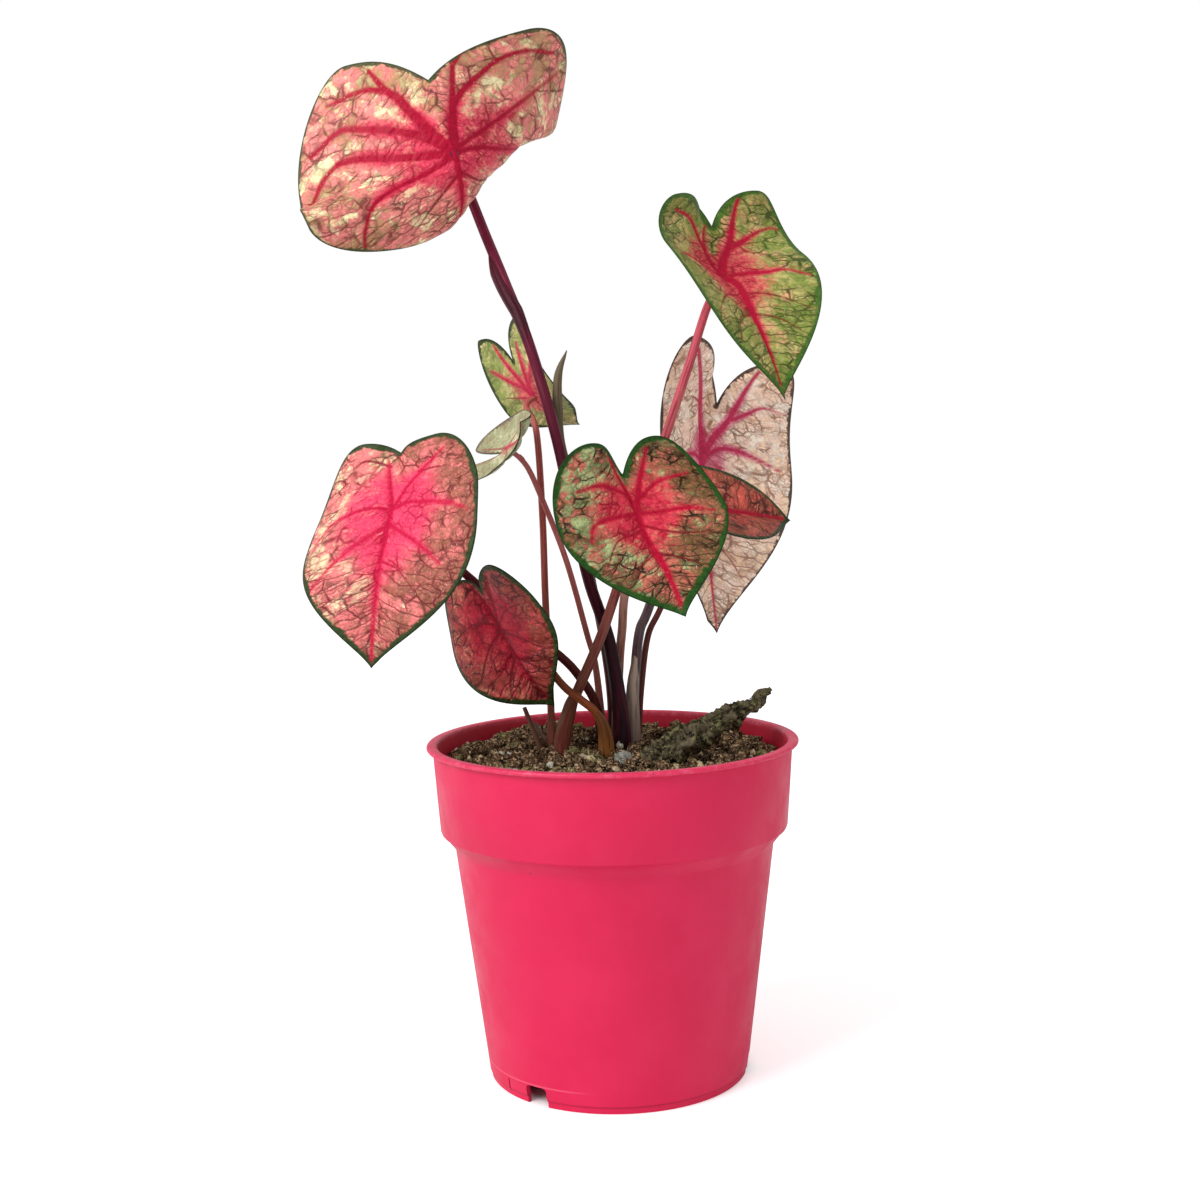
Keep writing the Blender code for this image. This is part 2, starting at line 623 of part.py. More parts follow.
def build_soil():
    low = FLOOR_Z + FLOOR_T + GAP
    profile = [(0, low), (inner_radius(low) - GAP, low), (inner_radius(BODY_TOP_Z) - GAP, BODY_TOP_Z)]
    profile += [(inner_radius(COLLAR_LOW_Z + 2.4) - GAP - 0.2, COLLAR_LOW_Z + 2.4)]
    edge = inner_radius(SOIL_Z - 3) - GAP
    profile += [(edge, SOIL_Z - 3)]
    points, faces = lathe(profile + [(edge * s, 0) for s in SOIL_RINGS] + [(0, 0)], SOIL_SEGMENTS)
    first = 1 + 4 * SOIL_SEGMENTS
    shaped = list(points[:first])
    for x, y, _ in points[first:]:
        shaped.append((x, y, soil_height(x, y)))
    soil = make_object("soil", shaped, faces, "soil")
    for stalk in STALKS.values():
        path = stalk_path(stalk)
        radii = stalk_radii(stalk, len(path)) + GAP
        keep = path[:, 2] < HOLE_TOP_Z
        path, radii = path[keep], radii[keep]
        end = path[-1] - np.array([0, 0, 6.0])
        points, faces = tube_mesh(np.vstack([path, end]), np.append(radii, radii[-1]), 8)
        cut(soil, make_object("cutter", points, faces, "soil"))
    cut(soil, build_tuber("cutter", GAP))
    cut(soil, build_bark("cutter", GAP))
    for name in LUMPS:
        cut(soil, build_lump(name, GAP))
    return soil


def ball(centre, sizes, rings, segments, rough, seed):
    chance = random.Random(seed)
    points = [(centre[0], centre[1], centre[2] + sizes[2])]
    for r in range(1, rings):
        rise = math.pi * r / rings
        for k in range(segments):
            turn = 2 * math.pi * k / segments
            grow = 1 - rough * chance.random()
            points.append((
                centre[0] + sizes[0] * grow * math.sin(rise) * math.cos(turn),
                centre[1] + sizes[1] * grow * math.sin(rise) * math.sin(turn),
                centre[2] + sizes[2] * grow * math.cos(rise),
            ))
    points.append((centre[0], centre[1], centre[2] - sizes[2]))
    faces = []
    last = len(points) - 1
    for k in range(segments):
        m = (k + 1) % segments
        faces.append((0, 1 + k, 1 + m))
        for r in range(rings - 2):
            a = 1 + r * segments
            faces.append((a + k, a + segments + k, a + segments + m, a + m))
        start = 1 + (rings - 2) * segments
        faces.append((start + m, start + k, last))
    return points, faces


def build_tuber(name, grow=0.0):
    sizes = [s + grow for s in TUBER_R]
    points, faces = ball(TUBER_C, sizes, 8, 20, 0.0, 1)
    return make_object(name, points, faces, "tuber")


def build_bark(name, grow=0.0):
    path = smooth_path([p[:3] for p in BARK], 3)
    radii = smooth_path([(p[3], 0, 0) for p in BARK], 3)[:, 0] + grow
    points, faces = tube_mesh(path, radii, 8)
    return make_object(name, points, faces, "bark")


def build_lump(name, grow=0.0):
    lump = LUMPS[name]
    sizes = [s + grow for s in lump["size"]]
    points, faces = ball(lump["centre"], sizes, 5, 8, 0.14, lump["seed"])
    return make_object("cutter" if grow else name, points, faces, lump["slot"])


def main():
    clear_scene()
    build_pot()
    build_soil()
    build_tuber("tuber")
    build_bark("bark")
    for name in LUMPS:
        build_lump(name)
    for name, leaf in LEAVES.items():
        points, faces = blade_mesh(leaf)
        make_object(name, [tuple(p) for p in points], faces, name)
    for name, stalk in STALKS.items():
        path = stalk_path(stalk)
        points, faces = tube_mesh(path, stalk_radii(stalk, len(path)), 8)
        make_object(name, points, faces, stalk["slot"])


main()
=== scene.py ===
import math
import random

import bmesh
import bpy
import numpy as np
from mathutils import Matrix, Vector, noise


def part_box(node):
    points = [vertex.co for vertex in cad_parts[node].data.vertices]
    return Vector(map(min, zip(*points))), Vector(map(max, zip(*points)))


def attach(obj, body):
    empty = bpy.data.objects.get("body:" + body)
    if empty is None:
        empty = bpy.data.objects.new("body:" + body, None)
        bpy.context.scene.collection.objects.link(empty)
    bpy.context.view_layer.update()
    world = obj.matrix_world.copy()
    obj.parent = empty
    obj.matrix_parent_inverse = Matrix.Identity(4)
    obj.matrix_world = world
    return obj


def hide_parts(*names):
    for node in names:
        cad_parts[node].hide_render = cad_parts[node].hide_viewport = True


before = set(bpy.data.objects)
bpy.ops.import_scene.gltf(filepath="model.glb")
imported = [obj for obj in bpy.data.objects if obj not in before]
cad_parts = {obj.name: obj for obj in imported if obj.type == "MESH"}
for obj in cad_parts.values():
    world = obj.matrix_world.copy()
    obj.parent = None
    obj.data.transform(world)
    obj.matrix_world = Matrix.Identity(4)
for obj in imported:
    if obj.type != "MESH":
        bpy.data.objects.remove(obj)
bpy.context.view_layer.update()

# Sizes are millimetres from the pot's axis and its foot. place() turns them into the frame's metres.
mm = 0.001
potLow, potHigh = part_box("pot")
axisX = (potLow.x + potHigh.x) / 2 / mm
axisY = (potLow.y + potHigh.y) / 2 / mm
tau = 2 * math.pi


def place(points):
    return (np.array(points, float) + (axisX, axisY, 0)) * mm


def srgb(red, green, blue):
    # A colour as it looks on screen, 0 to 255, turned into the linear one that a shader takes.
    out = []
    for value in (red, green, blue):
        share = value / 255
        out.append(share / 12.92 if share < 0.04045 else ((share + 0.055) / 1.055) ** 2.4)
    return (*out, 1.0)


def grey(value):
    return (value, value, value, 1)


def newMesh(name, points, faces):
    mesh = bpy.data.meshes.new(name)
    mesh.from_pydata([tuple(p) for p in place(points)], [], faces)
    return mesh


def addObject(name, data):
    item = bpy.data.objects.new(name, data)
    bpy.context.scene.collection.objects.link(item)
    return item


def makePiece(name, points, faces, finishes, slot, nodes=(), faceFinish=None, values=None, sharp=None):
    mesh = newMesh(name, points, faces)
    for finish in finishes:
        mesh.materials.append(finish)
    if faceFinish is not None:
        mesh.polygons.foreach_set("material_index", np.array(faceFinish, np.int32))
    mesh.polygons.foreach_set("use_smooth", np.ones(len(mesh.polygons), bool))
    for key, data in (values or {}).items():
        addValues(mesh, key, data)
    if sharp:
        creaseEdges(mesh, sharp)
    piece = addObject(name, mesh)
    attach(piece, "root")
    if nodes:
        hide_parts(*nodes)
    return piece


def addValues(mesh, key, data):
    data = np.array(data, np.float32)
    if data.ndim == 1:
        mesh.attributes.new(key, "FLOAT", "POINT").data.foreach_set("value", data)
    else:
        mesh.attributes.new(key, "FLOAT_VECTOR", "POINT").data.foreach_set("vector", data.ravel())


def creaseEdges(mesh, degrees):
    work = bmesh.new()
    work.from_mesh(mesh)
    for edge in work.edges:
        edge.smooth = edge.calc_face_angle(0) < math.radians(degrees)
    work.to_mesh(mesh)
    work.free()


# Node helpers: each returns an output socket.

def newFinish(name, rough, specular):
    finish = bpy.data.materials.new(name)
    finish.use_nodes = True
    shader = finish.node_tree.nodes["Principled BSDF"]
    shader.inputs["Roughness"].default_value = rough
    shader.inputs["Specular IOR Level"].default_value = specular
    return finish, finish.node_tree, shader


def feed(tree, socket, value):
    if isinstance(value, bpy.types.NodeSocket):
        tree.links.new(value, socket)
    else:
        socket.default_value = value


def addNode(tree, kind, values=(), **settings):
    made = tree.nodes.new("ShaderNode" + kind)
    for key, value in settings.items():
        setattr(made, key, value)
    for socket, value in zip(made.inputs, values):
        feed(tree, socket, value)
    return made


def addMath(tree, kind, *values):
    return addNode(tree, "Math", values, operation=kind).outputs[0]


def chain(tree, kind, *values):
    # The first value with the second, the outcome with the third, and so on.
    total = values[0]
    for value in values[1:]:
        total = addMath(tree, kind, total, value)
    return total


def vectorMath(tree, kind, *values):
    return addNode(tree, "VectorMath", values, operation=kind).outputs[0]


def mixColour(tree, share, first, second, blend="MIX"):
    made = addNode(tree, "Mix", data_type="RGBA", blend_type=blend)
    for index, value in ((0, share), (6, first), (7, second)):    # factor, A and B of a colour mix
        feed(tree, made.inputs[index], value)
    return made.outputs[2]


def ease(tree, value, low, high, start=0.0, end=1.0):
    made = addNode(tree, "MapRange", (value, low, high, start, end), interpolation_type="SMOOTHSTEP")
    return made.outputs[0]


def meshValue(tree, name, output="Fac"):
    return addNode(tree, "Attribute", attribute_name=name).outputs[output]


def objectSpot(tree):
    return addNode(tree, "TexCoord").outputs["Object"]


def grain(tree, spot, scale, detail=2.0, rough=0.5, output=0, shift=0.0):
    # shift moves the pattern, so that two grains on one surface differ.
    made = addNode(tree, "TexNoise")
    if shift:
        spot = vectorMath(tree, "ADD", spot, (shift, 1.7 * shift, -shift))
    for key, value in (("Vector", spot), ("Scale", scale), ("Detail", detail), ("Roughness", rough)):
        feed(tree, made.inputs[key], value)
    return made.outputs[output]


def cells(tree, spot, scale, feature="DISTANCE_TO_EDGE", output="Distance"):
    made = addNode(tree, "TexVoronoi", feature=feature)
    feed(tree, made.inputs["Vector"], spot)
    feed(tree, made.inputs["Scale"], scale)
    return made.outputs[output]


def channel(tree, vector, index):
    return addNode(tree, "SeparateXYZ", (vector,)).outputs[index]


def addBump(tree, shader, height, depth, strength=1.0):
    made = addNode(tree, "Bump")
    for key, value in (("Distance", depth), ("Strength", strength), ("Height", height)):
        feed(tree, made.inputs[key], value)
    tree.links.new(made.outputs[0], shader.inputs["Normal"])


# Shapes shared by several pieces.

def smoothPath(points, steps):
    p = np.array(points, float)
    p = np.vstack([2 * p[0] - p[1], p, 2 * p[-1] - p[-2]])
    out = []
    for i in range(1, len(p) - 2):
        a, b, c, d = p[i - 1], p[i], p[i + 1], p[i + 2]
        for t in np.linspace(0, 1, steps, endpoint=False):
            line = 2 * b + (c - a) * t + (2 * a - 5 * b + 4 * c - d) * t * t
            out.append(0.5 * (line + (3 * b - a - 3 * c + d) * t ** 3))
    out.append(p[-2])
    return np.array(out)


def tubeRings(path):
    # A side and a cross direction at each point, with as little turning as possible.
    ahead = np.gradient(path, axis=0)
    ahead /= np.linalg.norm(ahead, axis=1)[:, None]
    side = np.array(Vector(ahead[0]).orthogonal().normalized())
    sides, others = [], []
    for direction in ahead:
        side = side - direction * side.dot(direction)
        side /= np.linalg.norm(side)
        sides.append(side)
        others.append(np.cross(direction, side))
    return np.array(sides), np.array(others)


def ringFaces(rings, around):
    faces = []
    for ring in range(rings - 1):
        for k in range(around):
            a = ring * around + k
            b = ring * around + (k + 1) % around
            faces.append((a, b, b + around, a + around))
    return faces


def joinParts(parts):
    # Many small meshes as one.
    points, faces = [], []
    for part, partFaces in parts:
        start = len(points)
        points.extend(part)
        faces += [tuple(int(i) + start for i in face) for face in partFaces]
    return points, faces


def snakeName(name):
    # topLeft is top_left in the frame.
    return "".join("_" + letter.lower() if letter.isupper() else letter for letter in name)


def lathe(profile, segments):
    turns = np.linspace(0, tau, segments, endpoint=False)
    points, rings = [], []
    for radius, height in profile:
        if radius == 0:
            rings.append([len(points)])
            points.append((0.0, 0.0, height))
            continue
        rings.append(list(range(len(points), len(points) + segments)))
        points += [(radius * math.cos(t), radius * math.sin(t), height) for t in turns]
    faces = []
    for low, high in zip(rings, rings[1:]):
        for k in range(segments):
            m = (k + 1) % segments
            quad = [low[k % len(low)], low[m % len(low)], high[m % len(high)], high[k % len(high)]]
            faces.append(tuple(dict.fromkeys(quad)))
    return points, faces


# The pot.

pot = {
    "height": 109.0, "rim": 60.0, "lip": 1.5, "collarTop": 58.0, "collarLow": 56.2, "collarZ": 81.0,
    "bodyTop": 51.6, "bodyZ": 76.0, "foot": 42.1, "wall": 1.4, "floorZ": 6.8, "floor": 1.6,
    "slotAngles": (-37.5, 82.5, 202.5), "slotWide": 8.0, "slotHigh": 6.3,
    "slit": -54.5, "slitHigh": 4.2, "slitLow": 1.6, "slitHalf": 0.35, "corner": 1.3, "segments": 192,
    "crease": 34,
    # The last two heights are of a line of painted shade under the foot's step and a line of painted
    # highlight level with the slots' tops.
    "dustTop": 107.5, "dustLow": 102.5, "lipPaint": (107.2, 107.8), "footShadeLine": 2.3, "ledgeHighlightLine": 6.7,
    "pink": (214, 20, 76), "light": (230, 44, 96), "deep": (192, 16, 64),
    "inner": (196, 34, 60), "dust": (96, 52, 40), "speck": (70, 24, 30), "rubbed": (238, 112, 142),
    # Both colours on the next line are painted light: the shade under the foot's step and the highlight level
    # with the slots' tops.
    "seam": (150, 14, 52), "ledge": (246, 120, 150),
}
lean = (pot["bodyTop"] - pot["foot"]) / pot["bodyZ"]


def potProfile():
    lipLow = pot["height"] - pot["lip"]
    under = pot["foot"] + lean * pot["floorZ"]
    floorTop = pot["floorZ"] + pot["floor"]
    inside = pot["foot"] + lean * floorTop - pot["wall"]
    start = pot["foot"] + 0.35
    wallRows = [(start + (pot["bodyTop"] - pot["foot"] - 0.35) * t, 2.3 + (pot["bodyZ"] - 2.9) * t)
                for t in np.linspace(0, 1, 14)[1:]]
    curve = pot["lip"] / 2
    lipRound = [(pot["rim"] - curve + curve * math.sin(a), lipLow + curve - curve * math.cos(a))
                for a in np.linspace(0, math.pi, 11)]
    lipIn = [(pot["collarTop"] - 0.6 - 0.9 * math.sin(a), pot["height"] - 0.9 + 0.9 * math.cos(a))
             for a in np.linspace(0, math.pi / 2, 5)]
    return [
        (0, pot["floorZ"]), (under - pot["wall"] - 0.4, pot["floorZ"]),
        (pot["foot"] - pot["wall"] - 0.4, 0.1), (pot["foot"] - pot["wall"] - 0.1, 0),
        (pot["foot"] - 0.5, 0), (pot["foot"] - 0.25, 0.25), (pot["foot"] - 0.1, 2.0), (start, 2.3),
        *wallRows,
        (pot["bodyTop"] + 0.1, pot["bodyZ"]), (pot["collarLow"] - 1.0, pot["collarZ"] - 0.6),
        (pot["collarLow"] - 0.25, pot["collarZ"] - 0.1), (pot["collarLow"], pot["collarZ"] + 0.6),
        (pot["collarLow"] + 0.9, pot["collarZ"] + 13), (pot["collarTop"], lipLow - 0.3),
        (pot["collarTop"] + 0.3, lipLow), *lipRound, *lipIn,
        (pot["collarTop"] - pot["wall"] - 0.2, pot["height"] - 2.2),
        (pot["collarLow"] - pot["wall"] + 0.8, pot["collarZ"] + 13),
        (pot["collarLow"] - pot["wall"], pot["collarZ"] + 0.8),
        (pot["bodyTop"] - pot["wall"], pot["bodyZ"] + 0.6),
        (inside, floorTop), (0, floorTop),
    ]


def innerRadius(z):
    if z < pot["collarZ"] + 0.8:
        return pot["bodyTop"] - pot["wall"]
    start = pot["collarLow"] - pot["wall"]
    end = pot["collarTop"] - pot["wall"] - 0.2
    return start + (end - start) * (z - pot["collarZ"] - 0.8) / (pot["height"] - 1.8 - pot["collarZ"])


def cutBlock(target, angle, shape, near, far):
    turn = math.radians(angle)
    out = np.array((math.sin(turn), -math.cos(turn), 0))
    across = np.array((math.cos(turn), math.sin(turn), 0))
    points = [out * reach + across * wide + (0, 0, high) for reach in (near, far) for wide, high in shape]
    n = len(shape)
    faces = [tuple(range(n)), tuple(range(2 * n - 1, n - 1, -1))]
    faces += [(k, (k + 1) % n, (k + 1) % n + n, k + n) for k in range(n)]
    mesh = newMesh("cutter", points, faces)
    work = bmesh.new()
    work.from_mesh(mesh)
    bmesh.ops.recalc_face_normals(work, faces=work.faces)
    work.to_mesh(mesh)
    work.free()
    cutter = addObject("cutter", mesh)
    step = target.modifiers.new("cut", "BOOLEAN")
    step.operation = "DIFFERENCE"
    step.solver = "EXACT"
    step.object = cutter
    view = bpy.context.evaluated_depsgraph_get()
    target.data = bpy.data.meshes.new_from_object(target.evaluated_get(view))
    target.modifiers.clear()
    bpy.data.objects.remove(cutter, do_unlink=True)


def potFinish():
    finish, tree, shader = newFinish("pinkPlastic", rough=0.46, specular=0.32)
    names = ("pink", "light", "deep", "inner", "dust", "speck", "rubbed", "seam", "ledge")
    paint = {key: srgb(*pot[key]) for key in names}
    spot = objectSpot(tree)
    height = channel(tree, spot, 2)
    cloud = grain(tree, spot, 38, 3, 0.6)
    colour = mixColour(tree, ease(tree, cloud, 0.35, 0.75, 0, 0.3), paint["pink"], paint["light"])
    cloud = grain(tree, spot, 14, 2, 0.5, shift=3)
    colour = mixColour(tree, ease(tree, cloud, 0.5, 0.75, 0, 0.25), colour, paint["deep"])
    # The wall's inner face is the one that looks back at the axis.
    flatX = addMath(tree, "SUBTRACT", channel(tree, spot, 0), axisX * mm)
    flatY = addMath(tree, "SUBTRACT", channel(tree, spot, 1), axisY * mm)
    squares = [addMath(tree, "MULTIPLY", flat, flat) for flat in (flatX, flatY)]
    radius = addMath(tree, "SQRT", addMath(tree, "ADD", *squares))
    outward = addNode(tree, "CombineXYZ", [addMath(tree, "DIVIDE", flat, radius) for flat in (flatX, flatY)])
    normal = addNode(tree, "NewGeometry").outputs["Normal"]
    facing = addNode(tree, "VectorMath", (outward.outputs[0], normal), operation="DOT_PRODUCT")
    inside = ease(tree, facing.outputs["Value"], -0.2, -0.5)
    colour = mixColour(tree, inside, colour, paint["inner"])
    smear = ease(tree, grain(tree, spot, 120, 5, 0.65, shift=5), 0.52, 0.72)
    lowIn = ease(tree, height, pot["dustTop"] * mm, pot["dustLow"] * mm)
    colour = mixColour(tree, chain(tree, "MULTIPLY", smear, inside, lowIn), colour, paint["dust"])
    # The lip is rubbed lighter and carries grains of soil.
    onLip = ease(tree, height, *(level * mm for level in pot["lipPaint"]))
    rubbed = ease(tree, grain(tree, spot, 420, 4, 0.7, shift=7), 0.45, 0.7, 0.1, 0.5)
    colour = mixColour(tree, addMath(tree, "MULTIPLY", onLip, rubbed), colour, paint["rubbed"])
    # Painted shade: a darker line over the foot band, under its step. Painted highlight: a pale line level
    # with the slots' tops, on the lit left side only.
    offFootStepShade = addMath(tree, "ABSOLUTE", addMath(tree, "SUBTRACT", height, pot["footShadeLine"] * mm))
    colour = mixColour(tree, ease(tree, offFootStepShade, 0.0005, 0.0001, 0, 0.55), colour, paint["seam"])
    offLedgeHighlight = addMath(tree, "ABSOLUTE", addMath(tree, "SUBTRACT", height, pot["ledgeHighlightLine"] * mm))
    ledge = ease(tree, offLedgeHighlight, 0.0004, 0.0001, 0, 0.4)
    near = ease(tree, flatX, -0.006, -0.02)
    colour = mixColour(tree, addMath(tree, "MULTIPLY", ledge, near), colour, paint["ledge"])
    grit = ease(tree, grain(tree, spot, 900, 2, 0.5, shift=9), 0.66, 0.72)
    colour = mixColour(tree, chain(tree, "MULTIPLY", grit, onLip, 0.8), colour, paint["dust"])
    # A few dark specks in the wall.
    speck = cells(tree, spot, 90, "F1", "Distance")
    seldom = ease(tree, grain(tree, spot, 21, 1, 0.5, shift=11), 0.6, 0.64)
    dots = addMath(tree, "MULTIPLY", ease(tree, speck, 0.034, 0.022), seldom)
    colour = mixColour(tree, dots, colour, paint["speck"])
    feed(tree, shader.inputs["Base Color"], colour)
    rough = ease(tree, grain(tree, spot, 90, 4, 0.6, shift=13), 0.3, 0.7, 0.36, 0.52)
    feed(tree, shader.inputs["Roughness"], rough)
    fine = addMath(tree, "MULTIPLY", grain(tree, spot, 1500, 2), 0.08)
    addBump(tree, shader, addMath(tree, "ADD", grain(tree, spot, 30, 2), fine), 0.0006, 0.5)
    return finish


def buildPot():
    points, faces = lathe(potProfile(), pot["segments"])
    body = makePiece("nurseryPot", points, faces, [potFinish()], "pot", ["pot"])
    half, high, bend = pot["slotWide"] / 2, pot["slotHigh"], pot["corner"]
    corner = [(bend * math.sin(a), bend * math.cos(a)) for a in np.linspace(0, math.pi / 2, 5)]
    shape = [(-half, -2), (half, -2)]
    shape += [(half - bend + x, high - bend + z) for x, z in reversed(corner)]
    shape += [(bend - half - x, high - bend + z) for x, z in corner]
    for angle in pot["slotAngles"]:
        cutBlock(body, angle, shape, pot["foot"] - 7, pot["foot"] + 6)
    half, low, high = pot["slitHalf"], pot["slitLow"], pot["slitHigh"] + pot["slitLow"]
    slit = [(-half, low), (half, low), (half, high), (-half, high)]
    cutBlock(body, pot["slit"], slit, pot["foot"] - 0.75, pot["foot"] + 6)
    creaseEdges(body.data, pot["crease"])


buildPot()
print("pot done")


# The leaves. join is where the veins meet; heading, dip and roll turn the blade; the half outline runs
# sinus, lobe, widest point, tip; droop, back, fold, curl and twist bend it.

